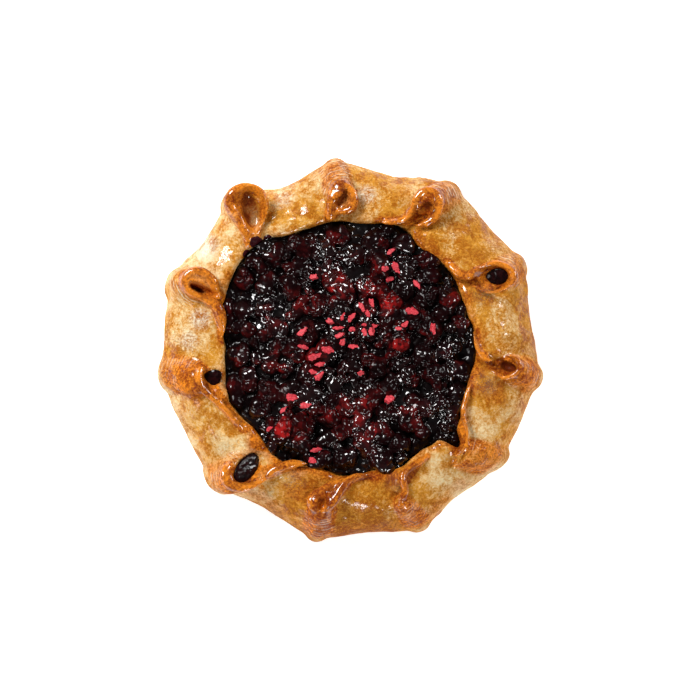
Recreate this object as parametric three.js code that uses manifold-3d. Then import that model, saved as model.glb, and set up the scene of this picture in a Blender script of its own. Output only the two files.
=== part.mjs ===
// A rustic fruit galette: a disc of dough folded up round a berry filling in eleven pleats.
// Millimetres, +Z up, origin at the middle of the underside, +Y towards the tall pleat at the top.
import * as THREE from "three";
import { mergeVertices } from "three/addons/utils/BufferGeometryUtils.js";
import Module from "manifold-3d";

const wasm = await Module();
wasm.setup();

// ---------------------------------------------------------------- driving dimensions

const GAP = 0.4; // clearance between the crust and what it holds
const FLOOR_THICKNESS = 5; // dough under the filling
const DOUGH_EDGE = 4.2; // thickness of the rolled dough where its cut edge shows
const FOOT_ROUNDING = 2.6; // radius where the wall meets the underside
const CORNER_SETBACK = 3; // how far the folded wall stays inside a pleat's foot
const PANEL_SHOULDER = 1.9; // 2 is an elliptic shoulder, more is squarer
const PLEAT_SHOULDER = 2.6; // the fuller shoulder where a pleat lifts the dough
const PLEAT_SPREAD = 7; // degrees either side of a pleat over which it lifts the dough
const COLUMNS_PER_PANEL = 8; // steps round the crust between two pleats

const CORE_EDGE_HEIGHT = 24.2; // top of the cooked mass at the rim
const CORE_MOUND = 1.6; // how much higher it is in the middle
const FRUIT_COUNT = 86;
const FRUIT_SEED = 20611;
const CRUMB_SEED = 4407;

// One row for each pleat, counter-clockwise. Angles in degrees, lengths in millimetres.
// foot: where the pleat meets the worktop. mouth: middle of its open end, and its height.
// pinch: the point on the rim where the pleat begins. tilt: how far the mouth leans inwards.
// half: half width and half length of the mouth, lips included. footHalf: the same at the worktop.
// depth: of the hollow, 0 if shut. slit, slitAt, slitTurn: clear half sizes of the hollow, how far
// out and to the right of the mouth's middle it lies, and how far it is turned. facing: bearing
// that the mouth opens towards, where that isn't the pinch. sway: how far the stem between mouth
// and pinch bows to its right. sunk: how far the stem lies under the lips. jam: how far under the
// lips the filling stands in the hollow, where it has come up.
const PLEATS = [
  {
    foot: [26.8, 107.8], mouth: [26.2, 89.2, 30.5], pinch: [37.0, 69.0],
    tilt: 24, half: [7.2, 9.6], footHalf: [10, 8], sway: 3.5, sunk: 0.6,
    depth: 9, slit: [4.4, 6.5], slitAt: [-1.0, 0.0], slitTurn: 8, jam: 1.4,
  },
  {
    foot: [57.8, 109.2], mouth: [62.2, 89.4, 31.5], pinch: [69.0, 72.0],
    tilt: 44, half: [7.4, 8.2], footHalf: [9, 8], sway: 3, sunk: 0.6,
    depth: 2.4, slit: [1.6, 4.0], slitAt: [-1.6, -1.2], slitTurn: 24,
  },
  {
    foot: [95.0, 107.2], mouth: [93.2, 83.4, 32.2], pinch: [99.0, 71.0],
    tilt: 60, half: [7.0, 7.4], footHalf: [7, 8], sway: 0, sunk: 0.6,
    depth: 2.2, slit: [1.5, 3.4], slitAt: [-1.0, 0.8], slitTurn: -26,
  },
  {
    foot: [127.0, 108.6], mouth: [125.1, 95.6, 31.0], pinch: [130.8, 76.6],
    tilt: 12, half: [10.8, 11.4], footHalf: [12, 8], sway: 0, sunk: 3.4,
    depth: 4.6, slit: [4.4, 9.6], slitAt: [-3.4, -0.8], slitTurn: 0,
  },
  {
    foot: [159.2, 108.6], mouth: [157.0, 89.4, 30.5], pinch: [157.6, 74.5],
    tilt: 28, half: [8.2, 10.6], footHalf: [11, 8], facing: 330, sway: 1, sunk: 0.6,
    depth: 8, slit: [1.3, 6.2], slitAt: [-1.8, 1.4], slitTurn: 4,
  },
  {
    foot: [186.8, 107.4], mouth: [191.6, 82.6, 30.0], pinch: [201.6, 71.0],
    tilt: 62, half: [8.8, 6.4], footHalf: [12, 8], facing: 352, sway: -1, sunk: 0.6, depth: 0,
  },
  {
    foot: [224.4, 107.4], mouth: [228.6, 87.0, 30.2], pinch: [239.6, 72.0],
    tilt: 14, half: [9.4, 12.2], footHalf: [12, 8], facing: 56, sway: 2.5, sunk: 0.6,
    depth: 10, slit: [5.4, 10.2], slitAt: [-2.8, 1.3], slitTurn: -6, jam: 1.4,
  },
  {
    foot: [259.8, 108.4], mouth: [260.0, 84.8, 31.2], pinch: [268.6, 68.0],
    tilt: 48, half: [6.8, 6.8], footHalf: [7.4, 8], sway: 1.5, sunk: 0,
    depth: 2.0, slit: [1.5, 1.8], slitAt: [-1.6, 0.4], slitTurn: 0,
  },
  {
    foot: [291.6, 108.6], mouth: [287.8, 85.4, 31.0], pinch: [291.6, 70.0],
    tilt: 58, half: [5.4, 4.6], footHalf: [8.4, 8], sway: 0, sunk: 0.6, depth: 0,
  },
  {
    foot: [322.2, 105.6], mouth: [317.0, 83.0, 29.5], pinch: [317.8, 80.0],
    tilt: 66, half: [9.6, 6.0], footHalf: [12, 8], facing: 110, sway: 0, sunk: 2.4, depth: 0,
  },
  {
    foot: [351.2, 106.8], mouth: [353.8, 87.8, 31.0], pinch: [357.4, 68.0],
    tilt: 36, half: [7.2, 8.0], footHalf: [10, 8], sway: 3, sunk: 0.2,
    depth: 7, slit: [2.4, 6.0], slitAt: [-2.8, 0.4], slitTurn: 0,
  },
];

// Either side of the notch in the rim where the panels at the lower right part: [bearing, radius].
const RIM_NOTCH = [[314.6, 68.2], [325.4, 71.8]];

// The panel of dough after each pleat: wall radius, rim radius and rim height at its middle.
const PANELS = [
  { wall: 102.8, rim: 68.2, height: 28.6 },
  { wall: 98.8, rim: 69.6, height: 28.8 },
  { wall: 97.4, rim: 69.4, height: 29.2 },
  { wall: 101.2, rim: 76.2, height: 28.2 },
  { wall: 102.8, rim: 67.6, height: 28.6 },
  { wall: 101.8, rim: 67.0, height: 28.8 },
  { wall: 99.2, rim: 65.8, height: 28.0 },
  { wall: 101.6, rim: 67.2, height: 28.2 },
  { wall: 100.0, rim: 66.8, height: 28.4 },
  { wall: 102.6, rim: 66.6, height: 28.6 },
  { wall: 101.2, rim: 67.0, height: 28.4 },
];
const PINCH_HEIGHT = 29.4; // rim height where a pleat begins

// A hollow beside the shut pleat at the left, where the filling has broken through.
const SIDE_HOLE = { at: [191.4, 75.6, 29.4], half: [4.7, 4.9], depth: 8, jam: 1.4 };

// Whole raspberries that show in the mass: place, half length, half width, turn in degrees.
const RASPBERRIES = [
  { at: [-37.5, -42], half: [10, 5.4], turn: 75 },
  { at: [-8, 36], half: [7.2, 6], turn: 10 },
  { at: [9.5, 34.5], half: [7.6, 6.2], turn: -25 },
  { at: [22, 26], half: [7, 6], turn: 30 },
  { at: [26, 3], half: [7.4, 6.2], turn: 60 },
  { at: [-3, -29], half: [7.4, 6.4], turn: 0 },
  { at: [11, -45], half: [6.6, 5.8], turn: 40 },
  { at: [54, 27], half: [6.8, 6], turn: 80 },
  { at: [-26, 56], half: [6.6, 5.8], turn: -10 },
];

// Dried raspberry crumbs: x, y, length, width, turn in degrees.
const CRUMBS = [
  [22.5, 53.5, 6.4, 3.6, 30], [19.0, 44.0, 4.4, 3.4, 40], [25.0, 44.5, 6.8, 3.8, -55],
  [21.5, 38.5, 4.0, 3.6, 0], [36.5, 35.5, 6.0, 3.0, -60], [-19.5, 39.5, 4.0, 3.6, 0],
  [11.5, 25.5, 4.6, 3.2, -70], [6.5, 23.0, 6.2, 3.4, -65], [9.5, 19.5, 4.2, 2.8, -60],
  [33.5, 21.0, 7.0, 4.6, -15], [0.5, 17.5, 5.6, 3.6, 50], [-4.0, 18.0, 4.2, 2.6, 60],
  [-11.0, 15.5, 4.2, 3.0, -20], [-6.0, 12.0, 6.8, 2.6, 5], [-5.5, 8.0, 5.8, 3.0, 15],
  [1.5, 11.0, 5.0, 2.6, -10], [8.0, 13.5, 3.0, 2.6, 0], [8.0, 9.5, 4.8, 3.0, -70],
  [11.5, 10.0, 4.8, 3.8, 80], [13.5, 13.0, 3.8, 2.4, 20], [-4.0, 4.5, 4.4, 3.2, 60],
  [2.0, 2.0, 6.0, 2.4, -5], [-25.5, 10.0, 6.8, 3.4, 45], [-25.0, 1.5, 6.8, 3.2, -15],
  [-12.0, 0.0, 7.0, 4.6, -10], [-19.0, -3.5, 7.6, 3.6, 18], [-16.0, -7.5, 6.0, 3.2, 10],
  [-20.0, -12.0, 5.0, 3.0, -20], [-16.5, -14.0, 6.6, 3.4, 40], [6.0, -12.5, 4.0, 3.2, 0],
  [-31.5, -25.5, 6.6, 4.4, -10], [-24.0, -30.0, 6.4, 4.0, 10], [21.5, -26.5, 5.6, 4.8, 20],
  [29.5, 14.0, 3.6, 2.6, 50], [26.5, 12.0, 3.6, 2.4, 0], [45.0, 11.5, 6.0, 3.8, -80],
  [-36.0, -32.5, 5.0, 3.0, 50], [-43.5, -42.5, 4.0, 2.6, 30], [-18.0, -54.0, 6.6, 2.8, 5],
  [-20.0, -60.0, 5.4, 3.0, -15],
];

const COLOURS = {
  crust: 0xc98b45,
  filling: 0x23090d,
  jam: 0x17060a,
};

// ---------------------------------------------------------------- small helpers

const DEGREES = Math.PI / 180;
const UP = new THREE.Vector3(0, 0, 1);

// A seeded generator, so that the fruit lies the same way every time.
function seededDraw(seed) {
  let state = seed;
  return () => {
    state = (state * 16807) % 2147483647;
    return state / 2147483647;
  };
}

// A point from its bearing in degrees, its distance from the middle and its height.
function polar(bearing, radius, height = 0) {
  const angle = bearing * DEGREES;
  return new THREE.Vector3(radius * Math.cos(angle), radius * Math.sin(angle), height);
}

// A smooth value round the galette from knots [bearing, value], eased between neighbours.
function roundTable(knots) {
  const sorted = knots.map(([bearing, value]) => [(bearing + 360) % 360, value]);
  sorted.sort((a, b) => a[0] - b[0]);
  const [first, last] = [sorted[0], sorted.at(-1)];
  const wrapped = [[last[0] - 360, last[1]], ...sorted, [first[0] + 360, first[1]]];
  return (bearing) => {
    const turn = ((bearing % 360) + 360) % 360;
    const next = wrapped.findIndex(([at]) => at > turn);
    const [a, b] = [wrapped[next - 1], wrapped[next]];
    const share = (turn - a[0]) / (b[0] - a[0]);
    const eased = (1 - Math.cos(Math.PI * share)) / 2;
    return a[1] + (b[1] - a[1]) * eased;
  };
}

// The bearing half way from one pleat's point to the next pleat's, counter-clockwise.
function halfWay(index, point) {
  const here = PLEATS[index][point][0];
  const next = PLEATS[(index + 1) % PLEATS.length][point][0];
  return here + (((next - here) % 360) + 360) % 360 / 2;
}

// A closed surface turned round the Z axis: rows from pole to pole, each point set by place.
function turned(rows, bearings, place) {
  const meridian = Array.from({ length: rows }, (_, row) => {
    const polarAngle = (Math.PI * row) / (rows - 1);
    return new THREE.Vector2(Math.sin(polarAngle), -Math.cos(polarAngle));
  });
  const columns = bearings.length;
  const geometry = new THREE.LatheGeometry(meridian, columns);
  const position = geometry.attributes.position;
  for (let column = 0; column <= columns; column++) {
    for (let row = 0; row < rows; row++) {
      const point = place(row, bearings[column % columns]);
      position.setXYZ(column * rows + row, point.x, point.y, point.z);
    }
  }
  return geometry;
}

// A closed tube along a curve: an upright cylinder whose every ring is laid round the curve.
function swept(curve, side, radiiAt, around, along) {
  const geometry = new THREE.CylinderGeometry(1, 1, 1, around, along);
  const position = geometry.attributes.position;
  for (let index = 0; index < position.count; index++) {
    const share = Math.min(1, Math.max(0, position.getY(index) + 0.5));
    const tangent = curve.getTangent(share);
    const across = side.clone().addScaledVector(tangent, -side.dot(tangent)).normalize();
    const lift = across.clone().cross(tangent);
    const [halfWidth, halfLength] = radiiAt(share);
    const point = curve
      .getPoint(share)
      .addScaledVector(across, position.getX(index) * halfWidth)
      .addScaledVector(lift, position.getZ(index) * halfLength);
    position.setXYZ(index, point.x, point.y, point.z);
  }
  return geometry;
}

const HAIR = 0.01; // a point this close to the worktop lies on it

// A geometry as a manifold-3d solid: shared points merged, faces that closed up dropped.
function solidFrom(geometry) {
  geometry.deleteAttribute("normal");
  geometry.deleteAttribute("uv");
  const position = geometry.attributes.position;
  for (let index = 0; index < position.count; index++) {
    if (Math.abs(position.getZ(index)) < HAIR) position.setZ(index, 0);
  }
  const merged = mergeVertices(geometry, 1e-4);
  const corners = merged.index.array;
  const kept = [];
  for (let at = 0; at < corners.length; at += 3) {
    const [a, b, c] = [corners[at], corners[at + 1], corners[at + 2]];
    if (a !== b && b !== c && c !== a) kept.push(a, b, c);
  }
  return new wasm.Manifold(
    new wasm.Mesh({
      numProp: 3,
      vertProperties: Float32Array.from(merged.attributes.position.array),
      triVerts: Uint32Array.from(kept),
    }),
  );
}

// A finished solid as a named mesh with its own material.
function namedMesh(name, solid, colour, roughness) {
  const largest = solid.decompose().reduce((a, b) => (a.volume() > b.volume() ? a : b));
  const { vertProperties, triVerts } = largest.getMesh();
  const geometry = new THREE.BufferGeometry();
  geometry.setAttribute("position", new THREE.BufferAttribute(vertProperties, 3));
  geometry.setIndex(new THREE.BufferAttribute(triVerts, 1));
  geometry.computeVertexNormals();
  const material = new THREE.MeshStandardMaterial({ color: colour, roughness, metalness: 0 });
  const mesh = new THREE.Mesh(geometry, material);
  mesh.name = name;
  return mesh;
}

// ---------------------------------------------------------------- the folded wall of dough

const wallRadius = roundTable(
  PLEATS.flatMap((pleat, index) => [
    [pleat.foot[0], pleat.foot[1] - CORNER_SETBACK],
    [halfWay(index, "foot"), PANELS[index].wall],
  ]),
);
const shoulderPower = roundTable(
  PLEATS.flatMap(({ foot }) => [
    [foot[0] - PLEAT_SPREAD, PANEL_SHOULDER],
    [foot[0], PLEAT_SHOULDER],
    [foot[0] + PLEAT_SPREAD, PANEL_SHOULDER],
  ]),
);
const rimRadius = roundTable([
  ...RIM_NOTCH,
  ...PLEATS.flatMap((pleat, index) => [
    [pleat.pinch[0], pleat.pinch[1]],
    [halfWay(index, "pinch"), PANELS[index].rim],
  ]),
]);
const rimHeight = roundTable(
  PLEATS.flatMap((pleat, index) => [
    [pleat.pinch[0], PINCH_HEIGHT],
    [halfWay(index, "pinch"), PANELS[index].height],
  ]),
);

// Bearings of the columns: evenly spaced within each panel, with one on every pleat.
const BEARINGS = PLEATS.flatMap((pleat, index) => {
  const halfPanel = halfWay(index, "foot") - pleat.foot[0];
  return Array.from(
    { length: COLUMNS_PER_PANEL },
    (_, step) => pleat.foot[0] + (2 * halfPanel * step) / COLUMNS_PER_PANEL,
  );
});

// Height of the dough's upper side at a bearing and radius, from the rim out to the wall.
function topHeight(bearing, radius) {
  const crown = rimRadius(bearing) + DOUGH_EDGE;
  const share = (radius - crown) / (wallRadius(bearing) - crown);
  const outwards = Math.min(1, Math.max(0, share));
  const power = shoulderPower(bearing);
  const fall = (1 - outwards ** power) ** (1 / power);
  return FOOT_ROUNDING + (rimHeight(bearing) - FOOT_ROUNDING) * fall;
}

// Shares of the way from rim to wall at which the shoulder has a row, from the wall inwards.
const SHOULDER_ROWS = [1, 0.98, 0.93, 0.84, 0.7, 0.5, 0.26, 0];

// The section of the dough at a bearing, from the middle of the underside round to the top.
function wallSection(bearing) {
  const wall = wallRadius(bearing);
  const rim = rimRadius(bearing);
  const height = rimHeight(bearing);
  const crown = rim + DOUGH_EDGE;
  const shoulder = SHOULDER_ROWS.map((share) => {
    const radius = crown + (wall - crown) * share;
    return [radius, topHeight(bearing, radius)];
  });
  return [
    [0, 0],
    [wall - FOOT_ROUNDING, 0],
    [wall - 0.3 * FOOT_ROUNDING, 0.3 * FOOT_ROUNDING],
    ...shoulder,
    [rim + 0.4 * DOUGH_EDGE, height - 0.1 * DOUGH_EDGE],
    [rim + 0.08 * DOUGH_EDGE, height - 0.36 * DOUGH_EDGE],
    [rim - 0.3 * DOUGH_EDGE, height - 1.2 * DOUGH_EDGE],
    [0, PINCH_HEIGHT - DOUGH_EDGE],
  ];
}

// The whole folded dough before the filling's bed is cut out of it.
function foldedDough() {
  const sections = new Map(BEARINGS.map((bearing) => [bearing, wallSection(bearing)]));
  const rows = wallSection(0).length;
  return solidFrom(
    turned(rows, BEARINGS, (row, bearing) => {
      const [radius, height] = sections.get(bearing)[row];
      return polar(bearing, radius, height);
    }),
  );
}

// ---------------------------------------------------------------- the pleats

const FOOT_FLARE = 1.7; // how quickly a pleat narrows above the worktop
const HORN_AROUND = 12;
const HORN_ALONG = 6;
const LIP_ROUNDING = 0.1; // last share of the horn over which its lip rounds off
const LIP_PULL = 1.3; // how far that rounding pulls the lip in
const STEM_DROP = 0.6; // how far the stem's end lies under the rim's own height
const STEM_RISE = 1.2; // how much higher than that it is half way, less its own depth
const STEM_END = 3.4; // half width of the stem where it meets the rim
const STEM_START = 0.38; // share of the way from mouth to rim at which the lips close

// The line that a pleat follows: straight up at its foot, then over towards its mouth.
function pleatCurve(pleat) {
  const foot = polar(pleat.foot[0], pleat.foot[1] - pleat.footHalf[1]);
  const mouth = polar(...pleat.mouth);
  const run = Math.hypot(mouth.x - foot.x, mouth.y - foot.y);
  const bend = foot.clone().setZ(mouth.z - run / Math.tan(pleat.tilt * DEGREES));
  bend.z = Math.max(bend.z, 0.3 * mouth.z);
  return new THREE.QuadraticBezierCurve3(foot, bend, mouth);
}

// The level direction that a pleat's mouth leans towards.
function pleatHeading({ mouth, pinch, facing }) {
  if (facing !== undefined) return polar(facing, 1);
  return polar(pinch[0], pinch[1]).sub(polar(mouth[0], mouth[1])).normalize();
}

function pleatSide(pleat) {
  return pleatHeading(pleat).cross(UP);
}

// The dough horn that stands out at a pleat, from the worktop up to its lips.
function horn(pleat) {
  const radiiAt = (share) => {
    const pull = LIP_PULL * Math.max(0, (share - 1 + LIP_ROUNDING) / LIP_ROUNDING);
    return [0, 1].map((way) => {
      const flare = (1 - share) ** FOOT_FLARE;
      return pleat.half[way] + (pleat.footHalf[way] - pleat.half[way]) * flare - pull;
    });
  };
  return solidFrom(swept(pleatCurve(pleat), pleatSide(pleat), radiiAt, HORN_AROUND, HORN_ALONG));
}

// The two lips pressed together between a pleat's mouth and the rim.
function stem(pleat) {
  const pinch = polar(pleat.pinch[0], pleat.pinch[1] + 0.5 * DOUGH_EDGE, PINCH_HEIGHT - STEM_DROP);
  const drop = pleat.half[1] * Math.sin(pleat.tilt * DEGREES) + pleat.sunk;
  const lip = polar(...pleat.mouth).lerp(pinch, STEM_START).setZ(pleat.mouth[2] - drop);
  const side = pinch.clone().sub(lip).setZ(0).normalize().cross(UP);
  const middle = lip.clone().lerp(pinch, 0.5).addScaledVector(side, pleat.sway);
  middle.z = pinch.z + STEM_RISE - pleat.sunk;
  const curve = new THREE.QuadraticBezierCurve3(lip, middle, pinch);
  const start = 0.62 * pleat.half[0];
  const radiiAt = (share) => [start + (STEM_END - start) * share, STEM_END + 0.4 - 0.8 * share];
  return solidFrom(swept(curve, side, radiiAt, 8, 3));
}

// A round hollow into the dough from a mouth, facing along outward, with an even taper.
function hollow(mouth, outward, side, half, depth, from, to, shrink) {
  const curve = new THREE.LineCurve3(
    mouth.clone().addScaledVector(outward, -to),
    mouth.clone().addScaledVector(outward, -from),
  );
  const radiiAt = (share) => {
    const deep = to + (from - to) * share;
    const taper = 1 - 0.5 * Math.max(0, deep / depth) ** 1.5;
    return half.map((size) => size * taper - shrink);
  };
  return solidFrom(swept(curve, side, radiiAt, 12, 2));
}

// What the hollow of a pleat needs: its mouth, the way it faces and its clear half sizes.
function pleatHollow(pleat) {
  const outward = pleatCurve(pleat).getTangent(1);
  const heading = pleatHeading(pleat);
  const side = pleatSide(pleat);
  const turn = pleat.slitTurn * DEGREES;
  const across = side.clone().multiplyScalar(Math.cos(turn));
  across.addScaledVector(heading, Math.sin(turn));
  const mouth = polar(...pleat.mouth).addScaledVector(heading, -pleat.slitAt[0]);
  mouth.addScaledVector(side, pleat.slitAt[1]);
  return [mouth, outward, across, pleat.slit, pleat.depth];
}

function sideHollow() {
  const side = polar(SIDE_HOLE.at[0] + 90, 1);
  return [polar(...SIDE_HOLE.at), UP, side, SIDE_HOLE.half, SIDE_HOLE.depth];
}

const OPENING_RISE = 4; // how far past the lips a cut for a hollow starts

function crustSolid() {
  let solid = foldedDough();
  for (const pleat of PLEATS) solid = solid.add(horn(pleat)).add(stem(pleat));
  for (const pleat of PLEATS.filter(({ depth }) => depth > 0)) {
    solid = solid.subtract(hollow(...pleatHollow(pleat), -OPENING_RISE, pleat.depth, 0));
  }
  solid = solid.subtract(hollow(...sideHollow(), -OPENING_RISE, SIDE_HOLE.depth, 0));
  return solid.subtract(fillingPlug(0));
}

// The jam that has come up in a hollow, clear of the dough all round.
function jamPocket(shape, level) {
  const depth = shape[4];
  return hollow(...shape, level, depth - GAP, GAP);
}

// ---------------------------------------------------------------- the filling

// The space over the bed that the filling stands in, drawn in by a clearance.
function fillingPlug(clearance) {
  const top = 60;
  const rows = [0, 1, 1, 0];
  return solidFrom(
    turned(rows.length, BEARINGS, (row, bearing) => {
      const radius = rows[row] * (rimRadius(bearing) - clearance);
      return polar(bearing, radius, row < 2 ? FLOOR_THICKNESS + clearance : top);
    }),
  );
}

// Top of the cooked mass under the whole fruit.
function coreHeight(bearing, radius) {
  const share = Math.min(1, radius / rimRadius(bearing));
  return CORE_EDGE_HEIGHT + CORE_MOUND * (1 - share * share);
}

function fillingCore() {
  const rows = [0, 1.05, 1.05, 0.6, 0];
  const bearings = BEARINGS.filter((_, index) => index % 3 === 0);
  return solidFrom(
    turned(rows.length, bearings, (row, bearing) => {
      const radius = rows[row] * rimRadius(bearing);
      return polar(bearing, radius, row < 2 ? 0 : coreHeight(bearing, radius));
    }),
  );
}

// One fruit: a low-sided ball, drawn out along its length and turned.
function fruit(x, y, halfLength, halfWidth, turn, sunk) {
  const ball = new THREE.SphereGeometry(1, 6, 4);
  ball.rotateX(90 * DEGREES);
  const bearing = Math.atan2(y, x) / DEGREES;
  const level = coreHeight(bearing, Math.hypot(x, y)) - sunk;
  ball.scale(halfLength, halfWidth, halfWidth * 0.86);
  ball.rotateZ(turn * DEGREES);
  ball.translate(x, y, level);
  return solidFrom(ball);
}

// Fruit spread evenly over the opening on a sunflower spiral, each nudged and sized by a draw.
function scatteredFruit() {
  const draw = seededDraw(FRUIT_SEED);
  const goldenTurn = 137.50776;
  const fruits = [];
  for (let index = 0; index < FRUIT_COUNT; index++) {
    const bearing = index * goldenTurn + (draw() - 0.5) * 4;
    const reach = rimRadius(bearing) - 3;
    const radius = reach * Math.sqrt((index + 0.5) / FRUIT_COUNT) + (draw() - 0.5) * 2;
    const halfWidth = 5.2 + 1.8 * draw();
    const halfLength = halfWidth * (1 + 0.28 * draw());
    const turn = 360 * draw();
    const sunk = 0.8 + 2 * draw();
    const { x, y } = polar(bearing, radius);
    const crowded = RASPBERRIES.some(({ at, half }) => Math.hypot(at[0] - x, at[1] - y) < half[0]);
    if (!crowded) fruits.push(fruit(x, y, halfLength, halfWidth, turn, sunk));
  }
  return fruits;
}

// Flat angular crumbs of dried raspberry, lying tipped on what is under them.
function crumbs(surface) {
  const draw = seededDraw(CRUMB_SEED);
  return CRUMBS.map(([x, y, long, wide, turn]) => {
    const thick = 0.45 * wide + 0.5;
    const chip = new THREE.CylinderGeometry(0.6, 0.7, thick, 4);
    chip.rotateY(45 * DEGREES);
    chip.rotateX(90 * DEGREES);
    chip.scale(long, wide, 1);
    chip.rotateX((draw() - 0.5) * 0.9);
    chip.rotateY((draw() - 0.5) * 0.7);
    chip.rotateZ(turn * DEGREES);
    chip.translate(x, y, surface(x, y) + 0.3 * thick);
    return solidFrom(chip);
  });
}

// Height of a solid's upper side under a point, found by dropping a ray on its mesh.
function surfaceOf(solid) {
  const { vertProperties, triVerts } = solid.getMesh();
  const geometry = new THREE.BufferGeometry();
  geometry.setAttribute("position", new THREE.BufferAttribute(vertProperties, 3));
  geometry.setIndex(new THREE.BufferAttribute(triVerts, 1));
  const mesh = new THREE.Mesh(geometry, new THREE.MeshBasicMaterial());
  const down = new THREE.Vector3(0, 0, -1);
  return (x, y) => {
    const ray = new THREE.Raycaster(new THREE.Vector3(x, y, 100), down);
    return ray.intersectObject(mesh)[0].point.z;
  };
}

function fillingSolid() {
  const whole = RASPBERRIES.map(({ at, half, turn }) => fruit(...at, ...half, turn, 0.6));
  let heap = fillingCore();
  for (const piece of [...scatteredFruit(), ...whole]) heap = heap.add(piece);
  for (const crumb of crumbs(surfaceOf(heap))) heap = heap.add(crumb);
  return heap.intersect(fillingPlug(GAP));
}

// ---------------------------------------------------------------- assembly

const galette = new THREE.Group();
galette.add(namedMesh("crust", crustSolid(), COLOURS.crust, 0.45));
galette.add(namedMesh("filling", fillingSolid(), COLOURS.filling, 0.15));
PLEATS.forEach((pleat, index) => {
  if (pleat.jam === undefined) return;
  const pocket = jamPocket(pleatHollow(pleat), pleat.jam);
  galette.add(namedMesh(`jam-pocket-${index + 1}`, pocket, COLOURS.jam, 0.12));
});
const sidePocket = jamPocket(sideHollow(), SIDE_HOLE.jam);
galette.add(namedMesh("jam-pocket-side", sidePocket, COLOURS.jam, 0.12));

export default galette;
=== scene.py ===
"""A rustic fruit galette: a folded round of baked dough, its berry filling and the crumbs on it.

Shapes are worked out in millimetres, +Z up, origin in the middle of the underside, and are set
down in metres in the CAD frame. Bearings are degrees counter-clockwise from +X.
"""
import logging
import math
from collections.abc import Iterable, Iterator, Mapping, Sequence
from contextlib import contextmanager
from dataclasses import dataclass, field
from enum import Enum

import bpy
import numpy as np
from mathutils import Matrix, Vector, noise


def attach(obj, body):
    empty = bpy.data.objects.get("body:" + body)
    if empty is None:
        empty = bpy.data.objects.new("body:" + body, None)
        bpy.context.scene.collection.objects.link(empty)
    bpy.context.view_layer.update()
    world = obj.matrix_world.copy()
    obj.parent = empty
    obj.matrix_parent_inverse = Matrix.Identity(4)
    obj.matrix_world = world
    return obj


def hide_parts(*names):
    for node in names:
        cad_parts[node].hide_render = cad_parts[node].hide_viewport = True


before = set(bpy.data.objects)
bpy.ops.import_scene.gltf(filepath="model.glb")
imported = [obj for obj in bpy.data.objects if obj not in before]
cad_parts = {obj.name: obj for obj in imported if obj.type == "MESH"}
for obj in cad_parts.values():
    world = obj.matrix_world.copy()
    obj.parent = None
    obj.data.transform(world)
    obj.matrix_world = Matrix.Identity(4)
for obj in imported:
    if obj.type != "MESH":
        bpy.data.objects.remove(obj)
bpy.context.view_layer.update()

LOG = logging.getLogger("galette")

MM = 0.001
UP = np.array([0.0, 0.0, 1.0])
LEVEL = np.array([1.0, 1.0, 0.0])
GOLDEN_TURN = 137.50776

Point = tuple[float, float, float]
Colour = tuple[float, float, float]
Pair = tuple[float, float]
# A round place on the plan: x, y and reach, and in a mark also its strength.
Spot = tuple[float, float, float]
Mark = tuple[float, float, float, float]


# ---------------------------------------------------------------- plain geometry


def polar(bearing: np.ndarray | float, radius: np.ndarray | float,
          height: np.ndarray | float = 0.0) -> np.ndarray:
    """Points from their bearings in degrees, distances from the middle and heights.

    Args:
        bearing: Degrees counter-clockwise from +X.
        radius: Distance from the middle axis.
        height: Height over the worktop.

    Returns:
        The points, with x, y and z along the last axis.
    """
    angle = np.radians(bearing)
    parts = np.broadcast_arrays(radius * np.cos(angle), radius * np.sin(angle), height)
    return np.stack(parts, axis=-1).astype(float)


def bearing_of(points: np.ndarray) -> np.ndarray:
    """The bearings of points in degrees."""
    return np.degrees(np.arctan2(points[:, 1], points[:, 0]))


def radius_of(points: np.ndarray) -> np.ndarray:
    """How far points are from the middle axis."""
    return np.hypot(points[:, 0], points[:, 1])


def unit(vectors: np.ndarray) -> np.ndarray:
    """The same directions at length one."""
    return vectors / np.maximum(np.linalg.norm(vectors, axis=-1, keepdims=True), 1e-12)


def arched(start: np.ndarray, bend: np.ndarray, end: np.ndarray, t: np.ndarray) -> np.ndarray:
    """Points on the arch from start to end that a third point draws towards itself.

    Args:
        start: Where the arch starts.
        bend: The point that draws it.
        end: Where it ends.
        t: Shares of the way, one row each.

    Returns:
        The points, one row each.
    """
    return (1 - t) ** 2 * start + 2 * t * (1 - t) * bend + t ** 2 * end


def ramp(values: np.ndarray, low: float, high: float) -> np.ndarray:
    """A smooth step from 0 at low to 1 at high.

    Args:
        values: What is compared with the two limits.
        low: Where the step starts. It may be the higher of the two.
        high: Where the step is complete.

    Returns:
        The eased shares between 0 and 1.
    """
    share = np.clip((values - low) / (high - low), 0.0, 1.0)
    return share * share * (3 - 2 * share)


def nearest(points: np.ndarray, targets: np.ndarray) -> tuple[np.ndarray, np.ndarray]:
    """For every point, which target is nearest and how far it is.

    Args:
        points: The points that ask, one row each.
        targets: The points that may be nearest, one row each.

    Returns:
        The index of the nearest target and the distance to it, for every point.
    """
    index = np.empty(len(points), int)
    distance = np.empty(len(points))
    chunk = max(1, 4_000_000 // max(1, len(targets)))
    squares = (targets ** 2).sum(1)
    for start in range(0, len(points), chunk):
        part = points[start:start + chunk]
        gap = (part ** 2).sum(1)[:, None] + squares[None] - 2 * part @ targets.T
        best = gap.argmin(1)
        index[start:start + chunk] = best
        distance[start:start + chunk] = np.sqrt(np.maximum(gap[np.arange(len(part)), best], 0))
    return index, distance


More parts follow.
